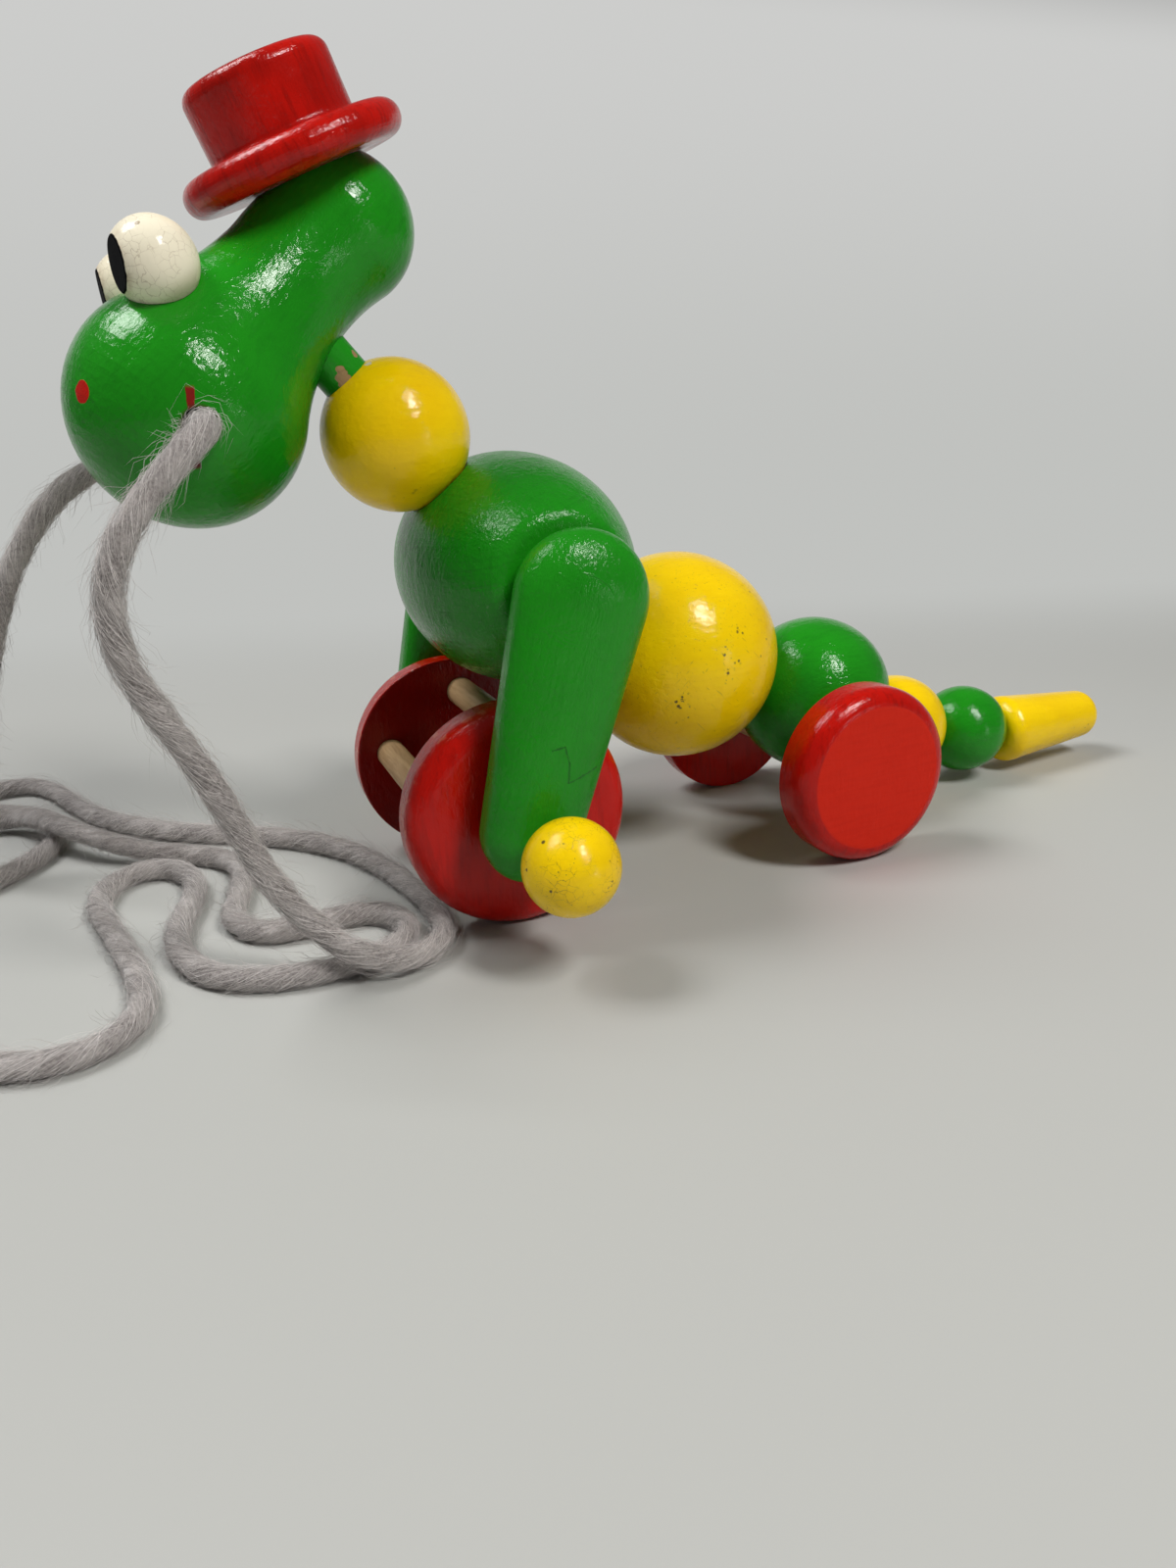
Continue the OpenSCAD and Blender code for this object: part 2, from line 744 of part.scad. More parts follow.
// Where the yarn leaves the head on one side, as [x, y, z] from the front axle's place
function cord_exit(side, out) =
    from_head([snout_ahead + mouth_ahead, side * (mouth_y + cord_out + out), snout_up - mouth_below])
    + [middle_x, 0, 0];

// Route of the yarn on the left: down from the snout, round a loop by the front
// wheels, back to a small curl and out to the knot
near_route = [
    [65, 46, 128], [72, 49.5, 122], [82, 51, 112], [88.5, 50.5, 98], [86.5, 48.5, 81], [78, 46, 66],
    [71.5, 44, 49], [66, 43, 31], [57, 45, 16], [45, 51, 6.5], [31, 48.5, 3], [21.5, 37, 3], [22, 17, 3],
    [26, -6, 3], [33, -28, 3], [46, -47, 3], [62, -60, 3], [79, -71, 3], [95, -85, 3], [109, -104, 3],
    [118, -125, 3], [124, -144, 3], [134, -158, 3], [149, -157, 3], [156, -144, 3], [149, -131, 3],
    [135, -122.5, 3], [122.5, -110, 3], [119, -93, 3], [124, -76, 3], [134, -62, 3], [147, -50, 3],
    [157, -35, 3], [158, -16, 3], [153, 0, 5], [150, 11, 7]
];
// Route of the yarn on the right: down to the floor, over the first stretch,
// through the pile and out to the knot
far_route = [
    [76, -36, 122.7], [88, -43, 120.5], [101, -47.5, 112], [112, -51, 98], [121, -54, 80], [129, -57, 56],
    [136, -62, 32], [146, -71, 12], [155, -84, 3], [158.5, -99, 3], [151, -114, 3], [135.5, -114, 4.5],
    [127, -97, 8.5], [119, -78, 11.5], [106, -64, 8], [90, -56.5, 3], [74, -48, 3], [66, -33, 3],
    [70, -14, 3], [75, 4, 3], [67, 17, 3], [54, 17, 3], [42.5, 14, 3], [30.5, 21, 3], [31, 36.5, 3],
    [44, 43, 3], [61, 44.5, 3], [79, 38, 3], [88, 21, 3], [88.5, 2, 3], [82.5, -14, 3], [80, -30, 3],
    [87, -45.5, 3], [102.5, -45, 3], [109, -28, 3], [105, -10, 3], [101, 8, 3], [97, 27, 3], [96, 46, 3],
    [107, 59, 3], [126, 57, 3], [141, 43, 5], [147, 28, 7]
];
cord_start = 6;

module cord_stretch(side, route) {
    path = concat([cord_exit(side, 0), cord_exit(side, cord_start)], route);
    color(wool) in_place() tube(path, [for (p = path) cord_d / 2]);
}

module pull_cord_near() {
    cord_stretch(1, near_route);
}

module pull_cord_far() {
    cord_stretch(-1, far_route);
}

// How far the knot reaches past the yarn's ends, and half its flat there
knot_past = 1;
knot_flat = 2.5;

// Knot that joins the two ends of the yarn
module cord_knot() {
    a = near_route[len(near_route) - 1];
    b = far_route[len(far_route) - 1];
    knot_r = a[2];
    along = norm(b - a) + knot_past;
    color(wool) in_place() translate(a) rotate([-90, 0, atan2(b[1] - a[1], b[0] - a[0]) - 90])
        rotate_extrude($fn = 48) polygon(outline([
            [0, -knot_past, 0], [knot_r, -knot_past, knot_r - knot_flat],
            [knot_r, along, knot_r - knot_flat], [0, along, 0]
        ], 8));
}

torso();
shoulder_dowels();
arm_left();
arm_right();
neck_dowel();
neck_ball();
head();
hat();
hat_dowel();
eye_left();
eye_right();
eye_dowels();
front_axle();
front_wheel_left();
front_wheel_right();
cage_dowels();
hand_ball_left();
hand_ball_right();
body_ball();
hip_ball();
rear_axle();
rear_wheel_left();
rear_wheel_right();
tail_ball_large();
tail_ball_small();
tail_tip();
body_string();
cord_in_head();
pull_cord_near();
pull_cord_far();
cord_knot();
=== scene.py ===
"""A turned and painted wooden pull toy with a wool cord: its looks, built around its CAD frame."""
import json
import math

import bmesh
import bpy
import numpy as np
from mathutils import Matrix, Vector


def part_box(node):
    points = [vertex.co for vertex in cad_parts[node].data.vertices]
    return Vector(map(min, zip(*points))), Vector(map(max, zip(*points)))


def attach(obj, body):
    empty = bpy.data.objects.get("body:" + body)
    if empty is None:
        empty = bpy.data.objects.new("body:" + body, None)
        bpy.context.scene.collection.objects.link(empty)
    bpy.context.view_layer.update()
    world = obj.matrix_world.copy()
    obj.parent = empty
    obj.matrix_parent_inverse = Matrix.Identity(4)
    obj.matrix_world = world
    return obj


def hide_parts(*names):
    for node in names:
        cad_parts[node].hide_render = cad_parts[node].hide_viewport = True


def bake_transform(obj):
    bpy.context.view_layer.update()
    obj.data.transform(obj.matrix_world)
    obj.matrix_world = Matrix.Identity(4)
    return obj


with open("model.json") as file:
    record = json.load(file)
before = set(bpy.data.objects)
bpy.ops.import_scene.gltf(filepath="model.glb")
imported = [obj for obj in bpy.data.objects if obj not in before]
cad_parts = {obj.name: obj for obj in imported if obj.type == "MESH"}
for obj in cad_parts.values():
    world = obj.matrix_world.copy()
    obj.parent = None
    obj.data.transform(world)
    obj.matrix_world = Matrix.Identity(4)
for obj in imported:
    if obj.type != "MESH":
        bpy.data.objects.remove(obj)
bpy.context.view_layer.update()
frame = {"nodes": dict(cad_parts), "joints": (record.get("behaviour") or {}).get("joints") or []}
nodes = frame["nodes"]
joints = {j["name"]: j for j in frame["joints"]}
MM = 0.001
YARN_D = 6


def mm(x, y, z):
    """A point given in millimetres, in metres."""
    return Vector((x, y, z)) * MM


def middle(node):
    """Middle of a CAD node's box."""
    low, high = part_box(node)
    return (low + high) / 2


def joint_at(name):
    """A joint's place."""
    return Vector(joints[name]["pos_m"])


# Places that the rest is worked out from

front_axle_at = middle("front_axle")
AHEAD = front_axle_at.x


def from_axle(x, y, z=YARN_D / 2):
    """A point in millimetres from the front axle's place on the floor, as high as lying yarn if not told."""
    return mm(x, y, z) + Vector((AHEAD, 0, 0))


# Camera

CAMERA_AT = from_axle(79.205, 285.407, 129.565)
CAMERA_YAW, CAMERA_PITCH, CAMERA_ROLL = -1.946223, -0.335603, -0.046618
FOCAL_PX = 1098.59
FRAME_HEIGHT_PX = 1600
SENSOR = 36
CLIP_NEAR, CLIP_FAR = 0.01, 20


def make_camera():
    """The photograph's camera. Its sensor's width goes along the picture's long side."""
    flat = Vector((math.cos(CAMERA_YAW), math.sin(CAMERA_YAW), 0))
    ahead = flat * math.cos(CAMERA_PITCH) + Vector((0, 0, math.sin(CAMERA_PITCH)))
    right = ahead.cross(Vector((0, 0, 1))).normalized()
    up = right.cross(ahead)
    tilt = Matrix.Rotation(-CAMERA_ROLL, 3, ahead)
    right, up = tilt @ right, tilt @ up
    camera = bpy.data.objects.new("camera", bpy.data.cameras.new("camera"))
    camera.data.sensor_width = SENSOR
    camera.data.lens = FOCAL_PX / FRAME_HEIGHT_PX * SENSOR
    camera.data.clip_start, camera.data.clip_end = CLIP_NEAR, CLIP_FAR
    turn = Matrix((right, up, -ahead)).transposed().to_4x4()
    camera.matrix_world = Matrix.Translation(CAMERA_AT) @ turn
    bpy.context.scene.collection.objects.link(camera)
    bpy.context.scene.camera = camera


make_camera()

# Yarn: its routes, in millimetres from the front axle's place on the floor

NEAR_ROUTE = [
    (65, 46, 128), (72, 49.5, 122), (82, 51, 112), (88.5, 50.5, 98), (86.5, 48.5, 81), (78, 46, 66),
    (71.5, 44, 49), (66, 43, 31), (57, 45, 16), (45, 51, 6.5), (31, 48.5), (21.5, 37), (22, 17), (26, -6),
    (33, -28), (46, -47), (62, -60), (79, -71), (95, -85), (109, -104), (118, -125), (124, -144),
    (134, -158), (149, -157), (156, -144), (149, -131), (135, -122.5), (122.5, -110), (119, -93),
    (124, -76), (134, -62), (147, -50), (157, -35), (158, -16), (153, 0, 5), (150, 11, 7),
]
FAR_ROUTE = [
    (76, -36, 122.7), (88, -43, 120.5), (101, -47.5, 112), (112, -51, 98), (121, -54, 80), (129, -57, 56),
    (136, -62, 32), (146, -71, 12), (155, -84), (158.5, -99), (151, -114), (135.5, -114, 4.5),
    (127, -97, 8.5), (119, -78, 11.5), (106, -64, 8), (90, -56.5), (74, -48), (66, -33), (70, -14), (75, 4),
    (67, 17), (54, 17), (42.5, 14), (30.5, 21), (31, 36.5), (44, 43), (61, 44.5), (79, 38), (88, 21),
    (88.5, 2), (82.5, -14), (80, -30), (87, -45.5), (102.5, -45), (109, -28), (105, -10), (101, 8),
    (97, 27), (96, 46), (107, 59), (126, 57), (141, 43, 5), (147, 28, 7),
]
NEAR_EXIT = from_axle(63.2345, 34.3926, 129.840)
FAR_EXIT = from_axle(70.2166, -21.9357, 124.286)
SNOUT_MIDDLE = (NEAR_EXIT + FAR_EXIT) / 2
STRAIGHT_OUT = 6 * MM
SPLINE_STEP, SPLINE_PER_SPAN = 1.0 * MM, 24
ASKEW = (0.3, 0.5, 0.8)


def unit(vectors):
    """The vectors, each at length 1."""
    return vectors / (np.linalg.norm(vectors, axis=-1, keepdims=True) + 1e-12)


def run_along(path):
    """Length of a path up to each of its points."""
    return np.concatenate([[0], np.cumsum(np.linalg.norm(np.diff(path, axis=0), axis=1))])


def sampled(at, run, values):
    """Values given along a run, in three columns, at other places of it."""
    return np.stack([np.interp(at, run, values[:, k]) for k in range(3)], -1)


def spline(points):
    """A cubic B-spline near the given points, from the first to the last, as evenly spaced points."""
    p = np.array([points[0]] * 2 + list(points) + [points[-1]] * 2, float)
    t = np.linspace(0, 1, SPLINE_PER_SPAN, endpoint=False)[:, None]
    weights = (1 - t) ** 3, 3 * t ** 3 - 6 * t ** 2 + 4, -3 * t ** 3 + 3 * t ** 2 + 3 * t + 1, t ** 3
    curve = [sum(w * p[i + k] for k, w in enumerate(weights)) / 6 for i in range(len(p) - 3)]
    curve = np.concatenate(curve + [p[-1:]])
    run = run_along(curve)
    return sampled(np.linspace(0, run[-1], max(2, round(run[-1] / SPLINE_STEP))), run, curve)


def carried_frames(path):
    """Headings along a path, and two directions across it that are carried along without twist."""
    ahead = unit(np.gradient(path, axis=0))
    side = np.cross(ahead[0], ASKEW)
    sides = []
    for h in ahead:
        side = unit(side - h * (h @ side))
        sides.append(side)
    return ahead, np.array(sides), np.cross(ahead, sides)


def from_arrays(name, points, faces):
    """A smooth mesh object in the scene, made of points and faces."""
    mesh = bpy.data.meshes.new(name)
    mesh.from_pydata([tuple(p) for p in points], [], faces)
    mesh.validate()
    mesh.polygons.foreach_set("use_smooth", [True] * len(mesh.polygons))
    made = bpy.data.objects.new(name, mesh)
    bpy.context.scene.collection.objects.link(made)
    return made


def ring_faces(rings, sides):
    """Faces of a closed form made of rings of points, with its two ends."""
    last = (rings - 1) * sides
    faces = [
        (i + k, i + (k + 1) % sides, i + sides + (k + 1) % sides, i + sides + k)
        for i in range(0, last, sides) for k in range(sides)
    ]
    return faces + [tuple(range(sides))[::-1], tuple(range(last, last + sides))]


FLOOR_GAP = 0.05 * MM


def tube(name, path, radius_at, sides=20):
    """A closed tube along a path, flattened where it lies. radius_at takes the points' runs and angles."""
    _, side, up = carried_frames(path)
    angle = np.linspace(0, 2 * np.pi, sides, endpoint=False)
    radius = radius_at(run_along(path)[:, None], angle[None, :])[:, :, None]
    spoke = side[:, None] * np.cos(angle)[None, :, None] + up[:, None] * np.sin(angle)[None, :, None]
    points = (path[:, None] + spoke * radius).reshape(-1, 3)
    points[:, 2] = np.maximum(points[:, 2], FLOOR_GAP)
    return from_arrays(name, points, ring_faces(len(path), sides))


YARN_R = YARN_D / 2 * MM
YARN_FULLNESS = 0.93
TWIST_PITCH = 42 * MM
STRANDS = ((0.042, 5, 0), (0.030, 9, 1.3), (0.020, 13, 4))
SWELLS = ((0.045, 0.31, 0), (0.030, 0.83, 2))


def yarn_radius(run, angle):
    """Surface of the spun wool: soft strands that wind round the yarn, thicker and thinner along it."""
    turn = angle + 2 * np.pi * run / TWIST_PITCH
    strands = sum(size * np.cos(count * turn + phase) for size, count, phase in STRANDS)
    swell = sum(size * np.sin(run / MM * rate + phase) for size, rate, phase in SWELLS)
    return YARN_R * (YARN_FULLNESS + strands + swell)


# Wool fibres: laid on the yarn's surface, loose from it at one end, and long strays

FIBRE_POINTS = 6
LOOSE_SHARE, STRAY_SHARE = 0.50, 0.17
STRAY_LENGTH, FIBRE_LENGTH = (12, 26), (5, 15)
TURN_DRIFT, FIBRE_DEPTH, DEPTH_WAVE, WAVE_RATE = 0.75, (0.94, 1.14), 0.05, 6
LOOSE_LIFT, STRAY_LIFT, MOST_LIFT, LIFT_CURL = (1.8, 0.58), (2.0, 1.1), 7 * MM, (1.2, 2.4)
SHAKE, LAID_SHAKE_SHARE, SLIVER_TILT = 0.5 * MM, 0.28, 0.37
LOOSE_THICK, LAID_THICK = (0.022, 0.036), (0.035, 0.060)


def fibre_lines(random, path, count):
    """Middle lines of fibres on and round the yarn along a path, a direction off each point, and radii."""
    _, side, up = carried_frames(path)
    run = run_along(path)
    along = np.linspace(0, 1, FIBRE_POINTS)[None, :]
    loose = random.random(count) < LOOSE_SHARE
    stray = loose & (random.random(count) < STRAY_SHARE / LOOSE_SHARE)
    length = np.where(stray, random.uniform(*STRAY_LENGTH, count), random.uniform(*FIBRE_LENGTH, count)) * MM
    start = random.uniform(0, run[-1] - length)
    place = start[:, None] + length[:, None] * along
    drift = random.normal(0, TURN_DRIFT, count)[:, None] * along
    turn = random.uniform(0, 2 * np.pi, count)[:, None] - 2 * np.pi * place / TWIST_PITCH + drift
    depth = random.uniform(*FIBRE_DEPTH, count)[:, None] + DEPTH_WAVE * np.sin(along * WAVE_RATE + turn)
    lift = np.where(loose, random.gamma(*LOOSE_LIFT, count), 0)
    lift += np.where(stray, random.gamma(*STRAY_LIFT, count), 0)
    curl = random.uniform(*LIFT_CURL, count)[:, None]
    radius = YARN_R * depth + np.minimum(lift[:, None] * MM, MOST_LIFT) * along ** curl
    centre, a, b = (sampled(place, run, values) for values in (path, side, up))
    line = centre + radius[:, :, None] * (a * np.cos(turn)[:, :, None] + b * np.sin(turn)[:, :, None])
    shake = random.normal(0, SHAKE, (count, FIBRE_POINTS, 3)) * (along ** 2)[:, :, None]
    line += np.where(loose[:, None, None], shake, shake * LAID_SHAKE_SHARE)
    thick = np.where(loose, random.uniform(*LOOSE_THICK, count), random.uniform(*LAID_THICK, count))
    thick = thick[:, None] * MM
    line[:, :, 2] = np.maximum(line[:, :, 2], thick + FLOOR_GAP)
    return line, a + SLIVER_TILT * b, thick


def sliver_points(line, off, thick):
    """Points of a closed three-sided sliver along each line: its tip, rings of three, and its other tip."""
    heading = unit(np.gradient(line, axis=1))
    out = unit(np.cross(heading, off))
    third = np.cross(heading, out)
    corners = [
        line[:, 1:-1] + thick[:, :, None] * (out[:, 1:-1] * math.cos(t) + third[:, 1:-1] * math.sin(t))
        for t in (2 * np.pi * k / 3 for k in range(3))
    ]
    rings = np.stack(corners, 2).reshape(len(line), -1, 3)
    return np.concatenate([line[:, :1], rings, line[:, -1:]], 1)


def sliver_faces():
    """Faces of one sliver, as numbers of its points."""
    last_row = 1 + 3 * (FIBRE_POINTS - 3)
    faces = [(0, 1 + (k + 1) % 3, 1 + k) for k in range(3)]
    for row in range(1, last_row, 3):
        faces += [(row + k, row + (k + 1) % 3, row + 3 + (k + 1) % 3, row + 3 + k) for k in range(3)]
    return faces + [(last_row + k, last_row + (k + 1) % 3, last_row + 3) for k in range(3)]


def fibres(name, path, count, seed):
    """Fine wool fibres along a path, each with a shade of its own in the UV map."""
    random = np.random.default_rng(seed)
    points = sliver_points(*fibre_lines(random, path, count))
    sliver, each = sliver_faces(), points.shape[1]
    faces = [tuple(each * n + v for v in face) for n in range(count) for face in sliver]
    made = from_arrays(name, points.reshape(-1, 3), faces)
    shade = made.data.uv_layers.new(name="shade")
    tone = np.repeat(random.random(count), sum(len(face) for face in sliver))
    shade.data.foreach_set("uv", np.stack([tone, tone], 1).astype(np.float32).ravel())
    return made


def route_of(exit_point, away, route):
    """Control points of one side of the yarn: from the snout's middle, straight out, then along its route."""
    out = (exit_point - away).normalized()
    first = [SNOUT_MIDDLE, (SNOUT_MIDDLE + exit_point) / 2, exit_point, exit_point + out * STRAIGHT_OUT]
    return first + [from_axle(*point) for point in route]


near_path = spline(route_of(NEAR_EXIT, FAR_EXIT, NEAR_ROUTE))
far_path = spline(route_of(FAR_EXIT, NEAR_EXIT, FAR_ROUTE))
yarn_near = tube("yarn_near", near_path, yarn_radius)
yarn_far = tube("yarn_far", far_path, yarn_radius)
fuzz_near = fibres("fuzz_near", near_path, count=7000, seed=11)
fuzz_far = fibres("fuzz_far", far_path, count=7400, seed=12)

KNOT_LOBE, KNOT_RISE, KNOT_STEPS = 3.4 * MM, 1.9 * MM, 72
KNOT_FLAT, KNOT_LONG = 1.2, 1.25
KNOT_THICK, TAIL_THICK, KNOT_SIDES = 0.8, 0.85, 16
TAIL_ROUTE = ((0, 0, 0), (7, 2, 0), (12, 6, 3.6), (17, 11, 4.2))


def knot_paths():
    """The two yarns' overhand knot, drawn as a three-lobed knot, and the two short tails that leave it."""
    last_near, last_far = Vector(near_path[-1]), Vector(far_path[-1])
    centre, along = (last_near + last_far) / 2, (last_far - last_near).normalized()
    up = Vector((0, 0, 1))
    flat = along.cross(up)
    loop = []
    for i in range(KNOT_STEPS):
        t = 2 * math.pi * i / KNOT_STEPS
        wide = KNOT_LOBE + KNOT_RISE * math.cos(3 * t)
        p = wide * math.cos(2 * t), wide * math.sin(2 * t), KNOT_RISE * math.sin(3 * t)
        loop.append(centre + flat * p[2] * KNOT_FLAT + along * p[0] * KNOT_LONG + up * p[1])
    tails = [
        spline([centre + flat * out * MM + along * s * on * MM - up * drop * MM
                for out, on, drop in TAIL_ROUTE])
        for s in (-1, 1)
    ]
    return np.array([tuple(p) for p in loop + loop[:1]]), tails


loop_path, tail_paths = knot_paths()
yarn_knot = tube("yarn_knot", loop_path, lambda run, angle: yarn_radius(run, angle) * KNOT_THICK, KNOT_SIDES)
yarn_tails = [
    tube(f"yarn_tail_{i + 1}", path, lambda run, angle: yarn_radius(run, angle) * TAIL_THICK, KNOT_SIDES)
    for i, path in enumerate(tail_paths)
]


def place_yarn():
    """The yarn's two lengths stay where they lie, and its knot and tails go with the torso."""
    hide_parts("pull_cord_near", "cord_in_head")
    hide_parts("pull_cord_far")
    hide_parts("cord_knot")
    for pieces, top in (((yarn_near, fuzz_near), NEAR_EXIT), ((yarn_far, fuzz_far), FAR_EXIT)):
        for piece in pieces:
            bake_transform(piece)
    for piece in (yarn_knot, *yarn_tails):
        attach(piece, "front_frame")


place_yarn()

# Arms, with finer edges than the frame's

ARM_W = 17.7 * MM
SHOULDER_R, WRIST_R = 16.75 * MM, 12.55 * MM
ARM_DOME, ARM_INNER_DOME = 1, 0.6
DOME_STEPS, ARC_STEPS, FLANK_STEPS = 22, 40, 14
torso_at = Vector((AHEAD - 13.4923 * MM, 0, front_axle_at.z + 59.3866 * MM))
shoulder_at = torso_at + mm(-1, 0, -2.4)
wrist_at = Vector((AHEAD, 0, front_axle_at.z)) + mm(2, 0, 1.1)
SIDEWAYS = Vector((0, 1, 0))
AXLE_HOLE_R = 4.08 * MM
DOWEL_HOLE_R, DOWEL_HOLE_DEEP = 4.1 * MM, 13.5 * MM
DRILL_SIDES = 64
SHARP_FROM = math.radians(40)


def arm_profile():
    """Rings of an arm from its inner to its outer face: a share of its outline and a place in its width."""
    rings = []
    for face, dome in ((-1, ARM_INNER_DOME), (1, ARM_DOME)):
        half = []
        for t in np.linspace(0, math.pi / 2, DOME_STEPS, endpoint=False):
            half.append((math.cos(t) ** dome, ARM_W / 2 * (1 + face * math.sin(t) ** dome)))
        rings.append(half)
    return rings[0][:0:-1] + rings[1]


def arm_outline(share):
    """Points round the shoulder's and the wrist's discs at a share of their size, where the outline bends."""
    run = wrist_at - shoulder_at
    slope = math.acos(share * (SHOULDER_R - WRIST_R) / run.length)
    heading = math.atan2(run.z, run.x)
    points = []
    for centre, radius, begin, end in (
        (shoulder_at, SHOULDER_R, heading + slope, heading + 2 * math.pi - slope),
        (wrist_at, WRIST_R, heading - slope, heading + slope),
    ):
        for t in np.linspace(begin, end, ARC_STEPS):
            points.append((centre.x + share * radius * math.cos(t), centre.z + share * radius * math.sin(t)))
    return np.array(points)


def with_flanks(corners):
    """The outline with more points along its two straight flanks."""
    shares = np.linspace(0, 1, FLANK_STEPS + 2)[1:-1, None]
    shoulder, wrist = corners[:ARC_STEPS], corners[ARC_STEPS:]
    there = shoulder[-1] + (wrist[0] - shoulder[-1]) * shares
    back = wrist[-1] + (shoulder[0] - wrist[-1]) * shares
    return np.concatenate([shoulder, there, wrist, back])


def make_arm(side, node):
    """An arm rounded on both faces, bored for the axle and the shoulder's dowel, as one closed mesh."""
    low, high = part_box(node)
    inner_y = low.y if side > 0 else high.y
    rings = [
        [(x, inner_y + side * out, z) for x, z in with_flanks(arm_outline(share))]
        for share, out in arm_profile()
    ]
    around = len(rings[0])
    last = (len(rings) - 1) * around
    faces = [
        (i + k, i + around + k, i + around + (k + 1) % around, i + (k + 1) % around)
        for i in range(0, last, around) for k in range(around)
    ]
    faces += [tuple(range(around)), tuple(range(last, last + around))[::-1]]
    arm = from_arrays("board_" + node, [p for ring in rings for p in ring], faces)
    outward(arm)
    bore(arm, Vector((AHEAD, inner_y + side * ARM_W / 2, front_axle_at.z)), AXLE_HOLE_R, 2 * ARM_W)
    bore(arm, Vector((torso_at.x, inner_y, torso_at.z)), DOWEL_HOLE_R, 2 * DOWEL_HOLE_DEEP)
    arm.data.set_sharp_from_angle(angle=SHARP_FROM)
    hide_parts(node)
    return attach(arm, "front_frame")


def outward(piece):
    """Turns a closed mesh's faces outward."""
    tidy = bmesh.new()
    tidy.from_mesh(piece.data)
    bmesh.ops.recalc_face_normals(tidy, faces=tidy.faces)
    tidy.to_mesh(piece.data)
    tidy.free()


def bore(piece, centre, radius, length):
    """Cuts a round hole along Y through a piece."""
    points = [
        (centre.x + radius * math.cos(t), centre.y + end * length / 2, centre.z + radius * math.sin(t))
        for end in (-1, 1) for t in np.linspace(0, 2 * np.pi, DRILL_SIDES, endpoint=False)
    ]
    drill = from_arrays("drill", points, ring_faces(2, DRILL_SIDES))
    outward(drill)
    cut = piece.modifiers.new("bore", "BOOLEAN")
    cut.operation, cut.object, cut.solver = "DIFFERENCE", drill, "EXACT"
    bpy.context.view_layer.objects.active = piece
    bpy.ops.object.modifier_apply(modifier=cut.name)
    bpy.data.objects.remove(drill)


arms = [make_arm(1, "arm_left"), make_arm(-1, "arm_right")]

# Head frame: along from the neck to the snout, to the toy's left, and up the neck

neck_at = joint_at("head_turn")
NECK_UP = Vector(joints["head_turn"]["axis"]).normalized()
HEAD_LEFT = (NEAR_EXIT - FAR_EXIT).normalized()
HEAD_AHEAD = HEAD_LEFT.cross(NECK_UP).normalized()


def on_head(ahead, left, up):
    """A point of the head, in millimetres from the neck ball's middle."""
    return neck_at + (HEAD_AHEAD * ahead + HEAD_LEFT * left + NECK_UP * up) * MM


SNOUT_AT, CROWN_AT = on_head(33.7, 0, 36.9), on_head(-24, 0, 42.2)
HEAD_LONG = (SNOUT_AT - CROWN_AT).normalized()

# Torso with a tighter end rounding and head with a deeper waist. Lengths without MM are in millimetres

TORSO_R, TORSO_HALF, BARREL_ARC = 30.5, 41.25, 100
FRAME_ROUND, END_ROUND = 9, 5
OVAL_HALF, KEPT_HALF, KEPT_END_R = 49.5, 22, 8
SNOUT_R, CROWN_R, HEAD_SPAN = 26.9, 17.7, 57.9
FRAME_WAIST_ARC, WAIST_ARC = 115, 50
SKIN = 7
SPARED_ABOVE, ABOVE_FROM, ABOVE_FULL = 0.8, -0.75, 0.85
EYE_SPARED, HAT_SPARED = (10, 19), (14, 22)
HAT_SEAT_AT = CROWN_AT + NECK_UP * 15 * MM
PROBE = 0.005 * MM


def ease(value, low, high):
    """0 below low, 1 above high, and a smooth rise between them."""
    t = np.clip((value - low) / (high - low), 0, 1)
    return t * t * (3 - 2 * t)


def column(items, key, width=3, kind=float):
    """One property of many mesh items, as an array."""
    values = np.empty(len(items) * width, kind)
    items.foreach_get(key, values)
    return values.reshape(-1, width)


def remoulded(node, body, place):
    """A copy of a node's mesh with its points moved by place, and its normals carried along with them."""
    mesh = nodes[node].data.copy()
    points = column(mesh.vertices, "co")
    normals = column(mesh.corner_normals, "vector")
    at = points[column(mesh.loops, "vertex_index", 1, int)[:, 0]]
    across = np.where(np.abs(normals[:, :1]) < 0.6, [[1.0, 0, 0]], [[0, 1.0, 0]])
    first = unit(np.cross(normals, across))
    second = np.cross(normals, first)
    runs = [place(at + t * PROBE) - place(at - t * PROBE) for t in (first, second)]
    carried = np.cross(*runs)
    carried /= np.linalg.norm(carried, axis=1)[:, None]
    mesh.vertices.foreach_set("co", place(points).ravel())
    mesh.normals_split_custom_set(carried.tolist())
    made = bpy.data.objects.new(node + "_form", mesh)
    bpy.context.scene.collection.objects.link(made)
    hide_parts(node)
    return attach(made, body)


def oval_edge():
    """Where the oval's flank meets its end's rounding: how far out, the radius, and the normal's angle."""
    edge = TORSO_HALF
    for _ in range(30):
        edge_r = TORSO_R * math.sqrt(1 - (edge / OVAL_HALF) ** 2)
        turn = math.atan2(edge / OVAL_HALF ** 2, edge_r / TORSO_R ** 2)
        edge = TORSO_HALF - END_ROUND * (1 - math.sin(turn))
    return edge, edge_r, turn


